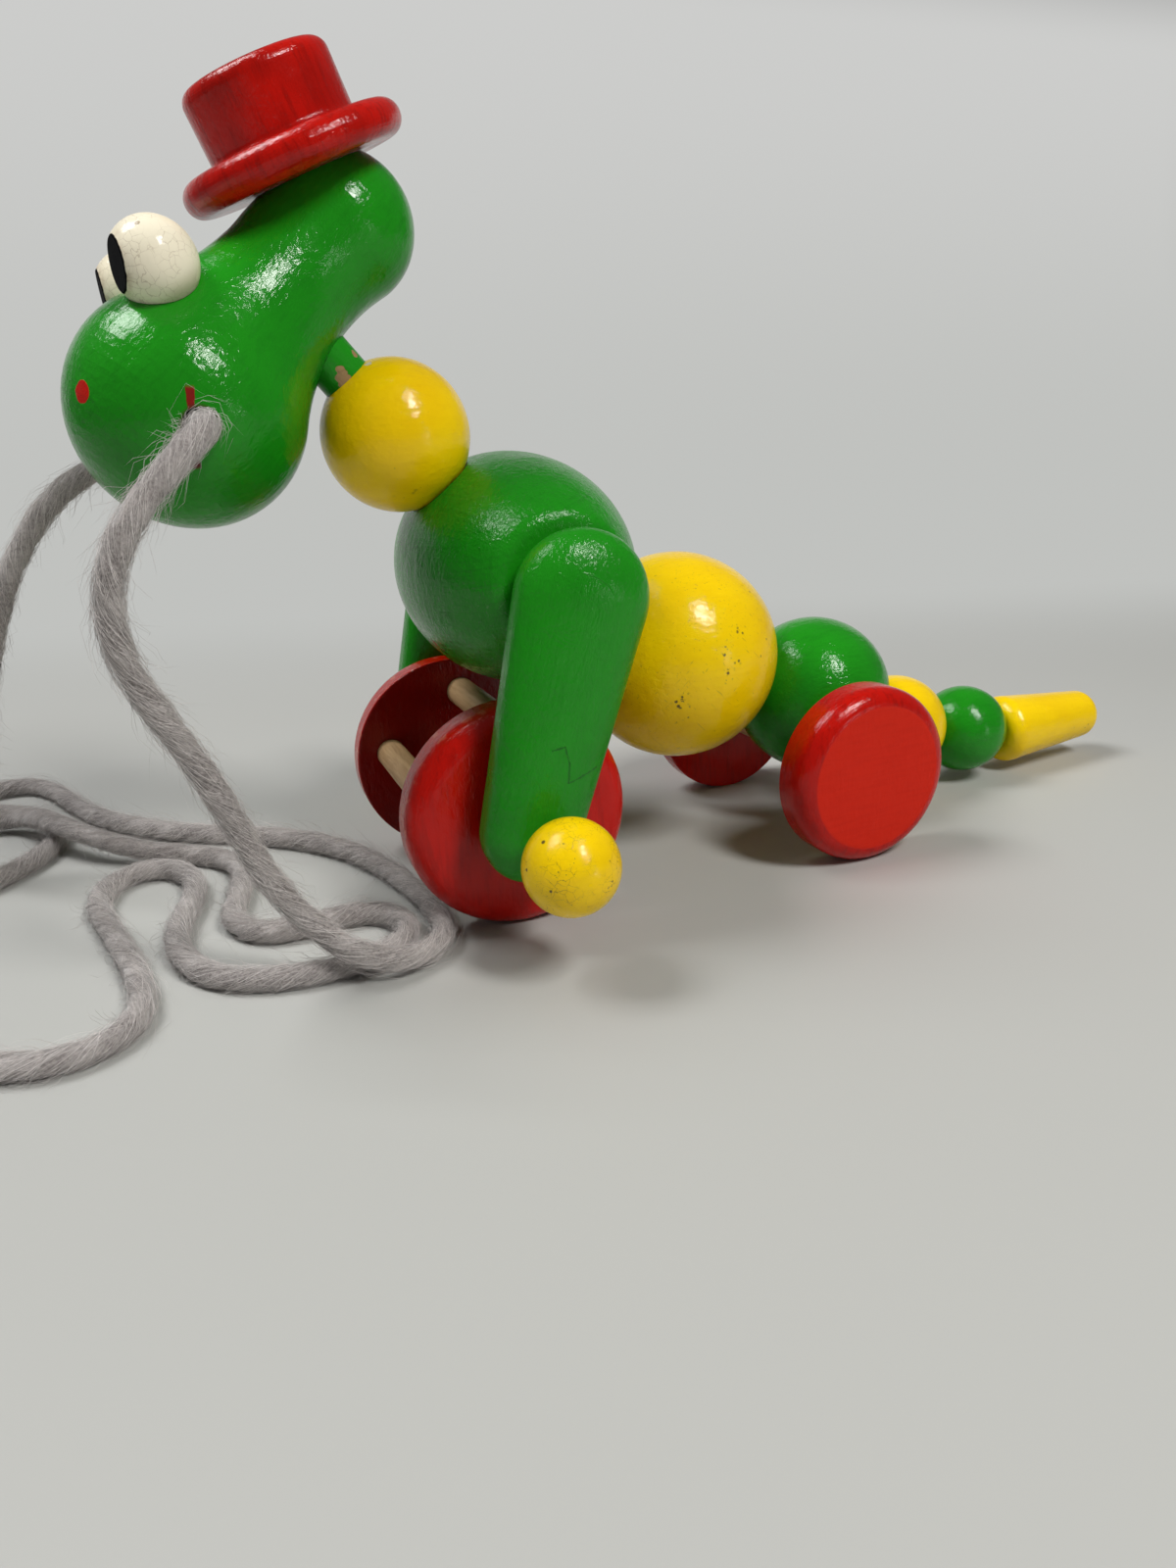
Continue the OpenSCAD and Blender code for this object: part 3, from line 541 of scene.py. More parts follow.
def torso_place(points):
    """Moves the barrel's points to an oval whose tighter rounded ends nearly meet the arms' edges."""
    rel = (points - np.array(torso_at)) / MM
    r, y = np.hypot(rel[:, 0], rel[:, 2]), np.abs(rel[:, 1])
    frame_y = TORSO_HALF - FRAME_ROUND
    frame_r = TORSO_R - BARREL_ARC + math.sqrt((BARREL_ARC - FRAME_ROUND) ** 2 - frame_y ** 2)
    frame_turn = math.atan2(frame_y, frame_r - TORSO_R + BARREL_ARC)
    edge, edge_r, turn = oval_edge()
    centre_y, centre_r = edge - END_ROUND * math.sin(turn), edge_r - END_ROUND * math.cos(turn)
    # The flank, stretched lengthwise beyond its kept middle
    stretch = (edge - KEPT_HALF) / (BARREL_ARC * math.sin(frame_turn) - KEPT_HALF)
    new_y = np.where(y < KEPT_HALF, y, KEPT_HALF + (y - KEPT_HALF) * stretch)
    oval = TORSO_R * np.sqrt(np.clip(1 - (new_y / OVAL_HALF) ** 2, 0.01, 1))
    barrel = TORSO_R - BARREL_ARC + np.sqrt(BARREL_ARC ** 2 - np.minimum(y, TORSO_HALF) ** 2)
    new_r = r * oval / barrel
    # The rounding, wound onto the smaller one
    angle = np.arctan2(y - frame_y, r - frame_r)
    reach = np.hypot(y - frame_y, r - frame_r) * END_ROUND / FRAME_ROUND
    new_angle = turn + (angle - frame_turn) * (math.pi / 2 - turn) / (math.pi / 2 - frame_turn)
    rounded = (y > frame_y) & (angle > frame_turn)
    new_y = np.where(rounded, centre_y + reach * np.sin(new_angle), new_y)
    new_r = np.where(rounded, centre_r + reach * np.cos(new_angle), new_r)
    # The flat end, whose dowel hole keeps its size
    end = rounded & (r < frame_r)
    widened = KEPT_END_R + (r - KEPT_END_R) * (centre_r - KEPT_END_R) / (frame_r - KEPT_END_R)
    new_y, new_r = np.where(end, y, new_y), np.where(end, np.where(r < KEPT_END_R, r, widened), new_r)
    factor = new_r / np.maximum(r, 1e-6)
    moved = np.stack([rel[:, 0] * factor, np.sign(rel[:, 1]) * new_y, rel[:, 2] * factor], 1)
    return np.array(torso_at) + moved * MM


def lobed_r(back, arc):
    """Radius of the head at a distance behind the snout's middle, with a waist of the given arc."""
    to_snout, to_crown = SNOUT_R + arc, CROWN_R + arc
    waist = (to_snout ** 2 - to_crown ** 2 + HEAD_SPAN ** 2) / (2 * HEAD_SPAN)
    out = math.sqrt(to_snout ** 2 - waist ** 2)
    snout = np.sqrt(np.clip(SNOUT_R ** 2 - back ** 2, 0, None))
    crown = np.sqrt(np.clip(CROWN_R ** 2 - (back - HEAD_SPAN) ** 2, 0, None))
    hollow = out - np.sqrt(np.clip(arc ** 2 - (back - waist) ** 2, 0, None))
    crown_edge = HEAD_SPAN + CROWN_R * (waist - HEAD_SPAN) / to_crown
    return np.where(back < SNOUT_R * waist / to_snout, snout, np.where(back > crown_edge, crown, hollow))


def head_place(points):
    """Moves the head's waist inward, most below, about half at the sides, not at the eyes and hat."""
    axis, above = np.array(HEAD_LONG), np.array(NECK_UP)
    rel = (points - np.array(SNOUT_AT)) / MM
    back = -rel @ axis
    spoke = rel + back[:, None] * axis
    r = np.linalg.norm(spoke, axis=1)
    spoke /= np.maximum(r, 1e-6)[:, None]
    frame_r = lobed_r(back, FRAME_WAIST_ARC)
    inward = (frame_r - lobed_r(back, WAIST_ARC)) * (1 - ease(frame_r - r, 0, SKIN))
    inward *= 1 - SPARED_ABOVE * ease(spoke @ above, ABOVE_FROM, ABOVE_FULL)
    for spared, reach in ((middle("eye_left"), EYE_SPARED), (middle("eye_right"), EYE_SPARED),
                          (HAT_SEAT_AT, HAT_SPARED)):
        inward *= ease(np.linalg.norm(points - np.array(spared), axis=1) / MM, *reach)
    return points - spoke * inward[:, None] * MM


torso_form = remoulded("torso", "front_frame", torso_place)
head_form = remoulded("head", "head", head_place)

# Elastic string: one length on each bead, parted where two beads meet, in millimetres

KNOT_RUN, KNOT_RADII = (0, 1.2, 3.6, 5.6, 6.2), (1.25, 2.4, 2.85, 2.3, 1.2)
STRING_SHORT, STRING_STEP, STRING_SIDES = 1.2, 0.7, 16
STRING_BODIES = ("front_frame", "body_ball", "hip", "tail_large", "tail_small", "tail_tip")
STRING_FROM, TORSO_OUT, BELLY_OUT, HIP_OUT, TAIL_OUT = 14.5, 28.1, 28.0, 20.8, 15.9
TIP_FRONT, TIP_KNOT = mm(-118.56, -3.17, 14.5), mm(-156.62, -4.70, 14.5)


def onward(start, end, distance):
    """The point at a distance in millimetres from start on the way to end."""
    return start + (end - start).normalized() * distance * MM


def string_piece(body, start, end):
    """A length of string on its bead: short of the next one, or in the tail's tip with its knot."""
    knotted = body == "tail_tip"
    last = onward(end, start, -KNOT_RUN[-1] if knotted else STRING_SHORT)
    run = (last - start).length
    knot_from = run - KNOT_RUN[-1] * MM if knotted else run
    shares = np.linspace(0, 1, round(run / (STRING_STEP * MM)))
    path = np.stack([np.array(start.lerp(last, t)) for t in shares])

    def radius(at, angle):
        return (np.interp((at - knot_from) / MM, KNOT_RUN, KNOT_RADII) + 0 * angle) * MM

    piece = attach(tube("string_in_" + body, path, radius, STRING_SIDES), body)
    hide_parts("body_string")
    return piece


def make_string():
    """The string from inside the torso to the knot in the tail's tip."""
    belly, hip, large, small = map(joint_at, ("body_sway", "hip_sway", "tail_large_sway", "tail_small_sway"))
    meets = [onward(torso_at, belly, STRING_FROM), onward(torso_at, belly, TORSO_OUT),
             onward(belly, hip, BELLY_OUT), onward(hip, large, HIP_OUT), onward(large, small, TAIL_OUT),
             TIP_FRONT, TIP_KNOT]
    return [string_piece(*each) for each in zip(STRING_BODIES, meets, meets[1:])]


string_pieces = make_string()


class Paint:
    """A material and short calls for the nodes in it."""

    def __init__(self, name, **sockets):
        self.material = bpy.data.materials.new(name)
        self.material.use_nodes = True
        self.tree = self.material.node_tree
        self.shader = self.tree.nodes["Principled BSDF"]
        self.set(**sockets)
        self.place = self.tree.nodes.new("ShaderNodeTexCoord").outputs["Object"]
        self.layers = []

    def set(self, **sockets):
        """Sets or links the shader's sockets, named with underscores for spaces."""
        for socket, value in sockets.items():
            self.give(self.shader.inputs[socket.replace("_", " ")], value)

    def give(self, socket, value):
        """Links a socket to another node's output, or sets its value."""
        if isinstance(value, bpy.types.NodeSocket):
            self.tree.links.new(value, socket)
        elif value is not None:
            socket.default_value = value

    def node(self, kind, inputs=(), **settings):
        """A new node with its inputs and settings."""
        made = self.tree.nodes.new("ShaderNode" + kind)
        for name, value in settings.items():
            setattr(made, name, value)
        for socket, value in dict(inputs).items():
            self.give(made.inputs[socket], value)
        return made

    def math(self, operation, a, b=None, c=None):
        """A math node's result for up to three values."""
        return self.node("Math", {0: a, 1: b, 2: c}, operation=operation).outputs[0]

    def times(self, *values):
        """The product of several values."""
        product = values[0]
        for value in values[1:]:
            product = self.math("MULTIPLY", product, value)
        return product

    def vector(self, operation, a, b=None):
        """A vector node's result, as a number where the operation gives one."""
        made = self.node("VectorMath", {0: a, 1: b}, operation=operation)
        return made.outputs["Value" if operation in ("DOT_PRODUCT", "DISTANCE", "LENGTH") else "Vector"]

    def noise(self, scale, detail=2.0, rough=0.5, at=None, distortion=0.0):
        """Cloudy noise from 0 to 1."""
        values = {"Vector": at or self.place, "Scale": scale, "Detail": detail, "Roughness": rough,
                  "Distortion": distortion}
        return self.node("TexNoise", values).outputs["Fac"]

    def cells(self, scale, feature="F1", at=None):
        """Distance from the points or edges of a net of cells."""
        values = {"Vector": at or self.place, "Scale": scale}
        return self.node("TexVoronoi", values, feature=feature).outputs["Distance"]

    def grained(self, axis, across, along, detail=2, rough=0.5, distortion=0.0):
        """Noise drawn out along an axis, for grain, brush lines and turning marks."""
        axis = Vector(axis).normalized()
        run = self.vector("DOT_PRODUCT", self.place, axis)
        part = self.scaled(axis, self.times(run, along - across))
        at = self.vector("ADD", self.scaled(self.place, across), part)
        return self.noise(1.0, detail, rough, at, distortion)

    def scaled(self, a, factor):
        """A vector times a number."""
        return self.node("VectorMath", {0: a, "Scale": factor}, operation="SCALE").outputs["Vector"]

    def band(self, value, low, high, at_low=0.0, at_high=1.0):
        """A smooth run from at_low, where the value is low, to at_high, where it is high."""
        values = {"Value": value, "From Min": low, "From Max": high, "To Min": at_low, "To Max": at_high}
        return self.node("MapRange", values, interpolation_type="SMOOTHSTEP").outputs[0]

    def fade(self, value, low, high):
        """1 where the value is below low, and 0 above high."""
        return self.band(value, low, high, 1.0, 0.0)

    def mix(self, share, a, b):
        """Colour a, or b where the share is 1."""
        made = self.node("Mix", data_type="RGBA")
        for socket, value in ((0, share), (6, a), (7, b)):
            self.give(made.inputs[socket], value)
        return made.outputs[2]

    def along(self, axis, centre):
        """Distance of each place from a centre, measured along an axis."""
        return self.vector("DOT_PRODUCT", self.vector("SUBTRACT", self.place, centre), axis)

    def off_axis(self, axis, centre):
        """Distance of each place from a line through centre."""
        away = self.vector("SUBTRACT", self.place, centre)
        across = self.vector("CROSS_PRODUCT", away, axis.normalized())
        return self.vector("LENGTH", across)

    def spot(self, centre, radius, ragged=0.35):
        """1 inside a ragged round patch about centre, and 0 outside."""
        edge = self.math("MULTIPLY_ADD", self.noise(900.0, 3), radius * ragged * 2, -radius * ragged)
        reach = self.math("ADD", self.vector("DISTANCE", self.place, centre), edge)
        return self.fade(reach, radius * 0.94, radius)

    def stroke(self, start, end, half_width, ragged=0.15):
        """1 along a straight brushed or cracked line between two points, and 0 beside it."""
        run = end - start
        level = self.math("ABSOLUTE", self.along(run.normalized(), (start + end) / 2))
        within = self.fade(level, run.length / 2, run.length / 2 + half_width)
        wobble = self.band(self.noise(700, 2), 0, 1, -ragged * MM, ragged * MM)
        off = self.math("ADD", self.off_axis(run, start), wobble)
        return self.times(self.fade(off, half_width * 0.85, half_width), within)

    def either(self, *masks):
        """The greatest of several masks."""
        found = masks[0]
        for mask in masks[1:]:
            found = self.math("MAXIMUM", found, mask)
        return found


# Colours, the three enamels as a lit and a deep one

GREEN = (0.012, 0.270, 0.008, 1), (0.006, 0.150, 0.006, 1)
RED = (0.540, 0.006, 0.002, 1), (0.260, 0.003, 0.001, 1)
YELLOW = (0.980, 0.660, 0.001, 1), (0.760, 0.420, 0.002, 1)
GREEN_DEEP, RED_DEEP = GREEN[1], RED[1]
IVORY, IVORY_WARM, IVORY_DEEP = (0.950, 0.880, 0.690, 1), (0.800, 0.700, 0.490, 1), (0.400, 0.300, 0.190, 1)
WOOD, WOOD_DEEP = (0.560, 0.370, 0.190, 1), (0.330, 0.190, 0.085, 1)
# Dark grime for pits, specks, chips and scratches, also used as painted shade round the yarn's hole
GRIME_AND_SHADE = (0.060, 0.040, 0.016, 1)
UPRIGHT = Vector((0, 0, 1))
LENGTHWISE = Vector((1, 0, 0))
COAT = 0.46
DISC_INNER = 27.2 * MM


def enamel(name, colours, grain_axis, crinkle, rough=0.2, streaks=0.2, lines=0.060, scratches=0.3):
    """Brushed gloss enamel over turned wood: drifting colour, grain, brush lines, crinkle and scratches."""
    p = Paint(name, Coat_Weight=COAT, Coat_Roughness=0.07, Coat_IOR=1.5, Specular_IOR_Level=0.06)
    grain = p.grained(grain_axis, 620, 75, 4, 0.6)
    brushed = p.grained(grain_axis, 1150, 75, 3, 0.6)
    crinkled = p.grained(grain_axis, 800, 460, 3, 0.62, distortion=0.8)
    first = p.grained((0.7, 0.2, 0.7), 1700, 55)
    second = p.grained((-0.6, 0.3, 0.75), 1500, 60)
    p.scratch = p.either(p.band(first, 0.66, 0.72), p.band(second, 0.67, 0.73))
    tone = p.mix(p.band(p.noise(38, 3, 0.55), 0.35, 0.75, 0.0, 0.35), *colours)
    p.colour = p.mix(p.band(grain, 0.46, 0.68, 0.0, streaks), tone, colours[1])
    p.layers = [(p.noise(170, 2, 0.5), 0.26), (grain, 0.060), (crinkled, crinkle), (brushed, lines),
                (p.scratch, -0.012 * scratches)]
    p.rough = p.band(p.noise(120, 3), 0.3, 0.75, rough * 0.8, rough * 1.5)
    return p


def finished(p):
    """Joins up a paint's colour, roughness and bumps, given as heights and depths in millimetres."""
    normal = None
    for height, depth in p.layers:
        values = {"Height": height, "Strength": 1.0, "Distance": depth * MM, "Normal": normal}
        normal = p.node("Bump", values).outputs[0]
    p.set(Base_Color=p.colour, Roughness=p.rough, Normal=normal, Coat_Normal=normal)
    return p.material


def chipped(p, mask, below, depth=0.12):
    """Paint gone to what lies below it, dull and sunk."""
    p.colour = p.mix(mask, p.colour, below)
    p.rough = p.mix(mask, p.rough, (0.7, 0.7, 0.7, 1))
    p.layers.append((mask, -depth))


def painted(p, mask, colour, strength=1.0, depth=0.0):
    """Another colour laid on where the mask says."""
    p.colour = p.mix(p.times(mask, strength), p.colour, colour)
    if depth:
        p.layers.append((mask, depth))


def give(material, *pieces):
    """Gives pieces one material in place of any they have."""
    for piece in pieces:
        piece.data.materials.clear()
        piece.data.materials.append(material)


def largest_flat(node):
    """Middle and outward direction of a node's largest flat face."""
    flats = {}
    for face in nodes[node].data.polygons:
        flats.setdefault(tuple(round(x, 2) for x in face.normal), []).append(face)
    flat = max(flats.values(), key=lambda group: sum(face.area for face in group))
    area = sum(face.area for face in flat)
    normal = sum((face.normal * face.area for face in flat), Vector()).normalized()
    return sum((face.center * face.area for face in flat), Vector()) / area, normal


NOSTRIL_R, MOUTH_R = 2.45 * MM, 1.0 * MM


def green_head():
    """Nostril dots, a mouth stroke each side, and painted shade round the yarn's hole and by the neck."""
    p = enamel("green_head", GREEN, HEAD_LONG, crinkle=0.140, rough=0.18, lines=0.055)
    wobble = p.band(p.noise(700, 2), 0, 1, -0.25 * MM, 0.25 * MM)
    for side in (-1, 1):
        away = p.vector("DISTANCE", p.place, on_head(50.3, side * 12.77, 53.8))
        reach = p.math("ADD", away, wobble)
        nostril = p.fade(reach, NOSTRIL_R - 0.15 * MM, NOSTRIL_R)
        painted(p, nostril, (0.55, 0.012, 0.006, 1), depth=0.04)
        mouth = p.stroke(on_head(36.1, side * 26.6, 40.3), on_head(46.2, side * 23.0, 29.0), MOUTH_R)
        painted(p, mouth, (0.24, 0.014, 0.010, 1), depth=0.04)
        below = p.stroke(on_head(44.4, side * 24.1, 32.0), on_head(46.0, side * 22.6, 28.6), MOUTH_R)
        painted(p, below, (0.090, 0.012, 0.008, 1), depth=0.04)
    # Painted shade: dark in and round the yarn's hole
    hole_rim = p.off_axis(HEAD_LEFT, SNOUT_MIDDLE)
    painted(p, p.fade(hole_rim, 3.7 * MM, 4.8 * MM), GRIME_AND_SHADE, 0.85)
    # Painted shade: the head darker on its underside round the neck, where it sits on the neck ball
    from_neck = p.vector("DISTANCE", p.place, on_head(5, 0, 16))
    painted(p, p.fade(from_neck, 10 * MM, 15 * MM), GREEN_DEEP, 0.4)
    return finished(p)


def green_torso():
    """Turning rings, slanting brush lines, and scratches pale low down with a painted floor reflection."""
    p = enamel("green_torso", GREEN, UPRIGHT, crinkle=0.220, rough=0.24, streaks=0.15, lines=0.020,
               scratches=1.8)
    rings = p.grained((0.25, 0, 0.97), 45, 1400)
    slant = p.grained((0.75, 0.2, -0.62), 60, 1250)
    low = p.band(p.along(UPRIGHT, torso_at), 6 * MM, -10 * MM)
    p.layers.append((p.times(rings, p.math("ADD", low, 0.6)), 0.085))
    p.layers.append((slant, 0.070))
    painted(p, p.band(rings, 0.55, 0.75), GREEN_DEEP, 0.30)
    painted(p, p.band(slant, 0.58, 0.75), GREEN_DEEP, 0.22)
    # Painted reflection: the scratches pale only low down, where the floor is mirrored in them
    painted(p, p.times(p.scratch, low), (0.16, 0.30, 0.15, 1), 0.5)
    for at, radius in (((24.5, 6.8, -16.9), 1.3), ((22.6, 9.5, -18.2), 0.9)):
        chipped(p, p.spot(torso_at + mm(*at), radius * MM, 0.8), (0.33, 0.10, 0.05, 1))
    return finished(p)


# Ends of the arm's cracks, in millimetres ahead of the front axle and above it

ARM_CRACKS = [
    ((-1.5, 24.2), (-4.7, 24.7)), ((-4.7, 24.7), (-5.6, 20.5)), ((-5.6, 20.5), (-5.2, 15.6)),
    ((-5.2, 15.6), (-13.6, 17.6)),
]


def green_arm():
    """Sanding rings and a ridge at the shoulder, and cracks near the wrist, on the outer face."""
    p = enamel("green_arm", GREEN, wrist_at - shoulder_at, crinkle=0.220, rough=0.27, streaks=0.12,
               lines=0.120, scratches=0.8)
    outer = p.band(p.math("ABSOLUTE", p.along(SIDEWAYS, front_axle_at)), 48 * MM, 50 * MM)
    p.place = p.vector("MULTIPLY", p.place, (1, 0, 1))
    turned = from_axle(-10.2, 0, 85.2)
    off = p.off_axis(SIDEWAYS, turned)
    rings = p.math("SINE", p.times(off, 2 * math.pi / (0.9 * MM)))
    near = p.times(p.fade(off, 7 * MM, 9 * MM), p.band(off, 2 * MM, 4 * MM))
    p.layers.append((p.times(rings, near, p.band(p.noise(160, 2), 0.40, 0.60), outer), 0.014))
    facing = p.math("DIVIDE", p.along((-0.6, 0, 0.8), turned), off)
    ridge = p.times(p.band(off, 9.1 * MM, 9.35 * MM), p.fade(off, 9.35 * MM, 9.7 * MM))
    p.layers.append((p.times(ridge, p.band(facing, 0.84, 0.93), outer), 0.11))
    at_axle = Vector((AHEAD, 0, front_axle_at.z))
    for (x0, z0), (x1, z1) in ARM_CRACKS:
        crack = p.stroke(at_axle + mm(x0, 0, z0), at_axle + mm(x1, 0, z1), 0.20 * MM, 0.35)
        painted(p, p.times(crack, outer), (0.006, 0.100, 0.007, 1), 0.75, -0.06)
    return finished(p)


def green_neck_dowel():
    """Green dowel with the paint gone in places."""
    p = enamel("green_neck_dowel", GREEN, NECK_UP, crinkle=0.150, rough=0.42)
    for at, radius in (((2.4, 5.95, 18.6), 2.0), ((1.6, 6.15, 20.6), 1.2), ((-4.4, 4.7, 20.8), 0.9)):
        chipped(p, p.spot(on_head(*at), radius * MM, 0.7), (0.330, 0.210, 0.100, 1))
    return finished(p)


def yellow(name, crinkle, **more):
    """Yellow enamel, to which its marks are added."""
    return enamel(name, YELLOW, LENGTHWISE, crinkle, streaks=0.12, **more)


def pitted(p, amount, scale=420.0, low=0.48):
    """Dark pits and specks in clusters."""
    cluster = p.band(p.noise(48, 2), low, 0.66)
    pits = p.fade(p.cells(scale), 0.10, 0.22)
    tiny = p.fade(p.cells(scale * 2.1), 0.08, 0.2)
    chosen = p.band(p.noise(scale * 0.6, 2), 0.56, 0.62)
    painted(p, p.times(p.either(pits, tiny), chosen, cluster, amount), GRIME_AND_SHADE, depth=-0.05)


def pit_group(p, centre, radius):
    """A close group of dark specks about a point."""
    inside = p.fade(p.vector("DISTANCE", p.place, centre), radius * 0.5, radius)
    specks = p.fade(p.cells(620.0), 0.22, 0.38)
    chosen = p.band(p.noise(558.0, 2), 0.41, 0.48)
    painted(p, p.times(specks, chosen, inside), GRIME_AND_SHADE, 0.95, -0.06)


# Groups of pits on the body ball: from its middle, and their radii, in millimetres

BODY_PITS = [
    ((-2.9, 29.9, 5.2), 4.6), ((-0.8, 30.5, -0.5), 2.6), ((11.9, 27.3, -6.4), 3.6),
    ((10.2, 26.8, -10.4), 3.0), ((-7.0, 27.7, 10.7), 2.4), ((-20, -14, 18), 4.0), ((8, -27, 10), 4.4),
]
HAND_CHIPS = [((7.5, 2.3, 8.7), 0.5), ((11.3, 1.2, 2.3), 0.42), ((8.4, 8.0, -1.0), 0.35)]


def yellow_body():
    """Pits in groups, and scratches with grime in them."""
    p = yellow("yellow_body", 0.120, scratches=1.0)
    pitted(p, 0.7, low=0.52)
    for at, radius in BODY_PITS:
        pit_group(p, middle("body_ball") + mm(*at), radius * MM)
    painted(p, p.scratch, GRIME_AND_SHADE, 0.30)
    return finished(p)


def yellow_neck():
    """A few pits, and a chip beside the dowel."""
    p = yellow("yellow_neck", 0.120, rough=0.18)
    pitted(p, 0.45, 300.0)
    chipped(p, p.spot(on_head(-4.6, 6, 16.6), 1.1 * MM, 0.7), (0.75, 0.68, 0.5, 1), 0.08)
    return finished(p)


def crazed(p, scale, width, colour, amount, share):
    """A net of fine cracks, more in some places than in others."""
    shake = p.node("TexNoise", {"Vector": p.place, "Scale": scale * 1.3, "Detail": 2.0}).outputs["Color"]
    bent = p.vector("ADD", p.place, p.scaled(shake, 0.55 / scale))
    net = p.fade(p.cells(scale, "DISTANCE_TO_EDGE", at=bent), 0.0, width)
    where = p.band(p.noise(scale * 0.3, 2), *share)
    painted(p, p.times(net, where, amount), colour, depth=-0.03)


def yellow_hand():
    """Crazing and small dark chips."""
    p = yellow("yellow_hand", 0.110)
    crazed(p, 430.0, 0.030, (0.30, 0.15, 0.010, 1), 0.75, (0.44, 0.60))
    crazed(p, 860.0, 0.040, (0.45, 0.24, 0.010, 1), 0.45, (0.46, 0.60))
    pitted(p, 0.8, 520.0)
    for at, radius in HAND_CHIPS:
        painted(p, p.spot(middle("hand_ball_left") + mm(*at), radius * MM, 0.7), GRIME_AND_SHADE, 0.9, -0.10)
    return finished(p)


def yellow_tail():
    """A few pits."""
    p = yellow("yellow_tail", 0.130, rough=0.19)
    pitted(p, 0.5, 360.0, low=0.54)
    return finished(p)


def red_disc():
    """Rims rubbed pale in places, and inner faces darkened with painted shade between the discs."""
    p = enamel("red_disc", RED, UPRIGHT, crinkle=0.160, streaks=0.35, lines=0.070)
    rim = p.band(p.off_axis(SIDEWAYS, front_axle_at), 29.2 * MM, 29.95 * MM)
    worn = p.times(rim, p.band(p.noise(260, 3), 0.56, 0.66))
    painted(p, worn, (0.60, 0.16, 0.10, 1), 0.6)
    # Painted shade: the discs' inner faces, which face each other under the torso, darker
    inner = p.band(p.math("ABSOLUTE", p.along(SIDEWAYS, front_axle_at)), DISC_INNER, DISC_INNER - 0.3 * MM)
    painted(p, inner, (0.210, 0.004, 0.002, 1), 0.85)
    return finished(p)


def red_rear():
    """Gloss rims, and sawn outer faces whose paint is satin."""
    p = enamel("red_rear", RED, UPRIGHT, crinkle=0.130, streaks=0.45)
    axle, at = Vector(joints["rear_roll"]["axis"]).normalized(), joint_at("rear_roll")
    reach = max((vertex.co - at).dot(axle) for vertex in nodes["rear_wheel_left"].data.vertices)
    face = p.band(p.math("ABSOLUTE", p.along(axle, at)), reach - 0.10 * MM, reach - 0.02 * MM)
    sawn = p.grained(UPRIGHT, 90, 900, 3, 0.6)
    flat = p.mix(p.band(sawn, 0.4, 0.7, 0.0, 0.25), (0.640, 0.022, 0.009, 1), (0.520, 0.014, 0.006, 1))
    p.colour = p.mix(face, p.colour, flat)
    p.rough = p.mix(face, p.rough, (0.52, 0.52, 0.52, 1))
    p.set(Coat_Weight=p.band(face, 0.0, 1.0, COAT, 0.04))
    p.layers.append((p.times(face, sawn), 0.02))
    return finished(p)


def red_hat():
    """Red enamel with dark streaks and darker clouds."""
    p = enamel("red_hat", RED, largest_flat("hat")[1], crinkle=0.150, streaks=0.50, lines=0.070)
    painted(p, p.band(p.noise(60, 2), 0.45, 0.65, 0.0, 0.5), RED_DEEP)
    return finished(p)


def ivory_eye(node):
    """Crazed ivory enamel, with the pupil painted on the ball's flat."""
    centre, normal = largest_flat(node)
    p = Paint("ivory_" + node, Coat_Roughness=0.08, Coat_IOR=1.5, Specular_IOR_Level=0.0)
    p.rough = p.band(p.noise(200, 3), 0.3, 0.7, 0.24, 0.40)
    p.colour = p.mix(p.band(p.noise(90, 3, 0.6), 0.4, 0.8, 0.0, 0.5), IVORY, IVORY_WARM)
    p.layers = [(p.noise(300, 2), 0.10), (p.noise(900, 3), 0.030)]
    crazed(p, 520.0, 0.040, IVORY_DEEP, 0.50, (0.38, 0.58))
    crazed(p, 210.0, 0.014, IVORY_DEEP, 0.28, (0.42, 0.62))
    seat = p.along(NECK_UP, centre)
    painted(p, p.band(seat, -9 * MM, -13 * MM), (0.42, 0.36, 0.20, 1), 0.6)
    level = p.math("ADD", p.along(normal, centre), p.band(p.noise(600, 2), 0, 1, -0.12 * MM, 0.12 * MM))
    halo = p.times(p.band(level, -1.6 * MM, -0.3 * MM), p.band(p.noise(260, 2), 0.40, 0.60))
    painted(p, halo, (0.45, 0.33, 0.20, 1), 0.45)
    ball_at = middle(node)
    painted(p, p.spot(ball_at + mm(2.6, 6.4, 6.4), 0.55 * MM, 0.8), (0.42, 0.33, 0.22, 1), 0.9, -0.10)
    for side in (-1, 1):
        glue = ball_at - HEAD_AHEAD * 4.6 * MM + HEAD_LEFT * side * 3.4 * MM - NECK_UP * 7.3 * MM
        painted(p, p.spot(glue, 1.7 * MM, 0.6), (0.80, 0.74, 0.52, 1), 0.9, 0.06)
    pupil = p.band(level, -0.32 * MM, -0.22 * MM)
    painted(p, pupil, (0.004, 0.004, 0.005, 1))
    p.rough = p.mix(pupil, p.rough, (0.30, 0.30, 0.30, 1))
    p.set(Coat_Weight=p.band(pupil, 0.0, 1.0, 0.45, 0.06))
    return finished(p)


def bare_wood():
    """Dowel wood with its grain along the toy's width."""
    p = Paint("bare_wood", Specular_IOR_Level=0.3)
    grain = p.grained(SIDEWAYS, 620, 45, 5, 0.62)
    pores = p.grained(SIDEWAYS, 2600, 160, 3, 0.6)
    p.colour = p.mix(p.band(grain, 0.35, 0.72, 0.0, 0.8), WOOD, WOOD_DEEP)
    p.colour = p.mix(p.band(pores, 0.60, 0.72, 0.0, 0.6), p.colour, WOOD_DEEP)
    p.rough = p.band(grain, 0.3, 0.7, 0.42, 0.60)
    p.layers = [(grain, 0.04), (pores, -0.03)]
    return finished(p)


WOOL, WOOL_IN_SHADE, WOOL_PALE = (0.460, 0.420, 0.405, 1), (0.220, 0.198, 0.192, 1), (0.840, 0.790, 0.770, 1)


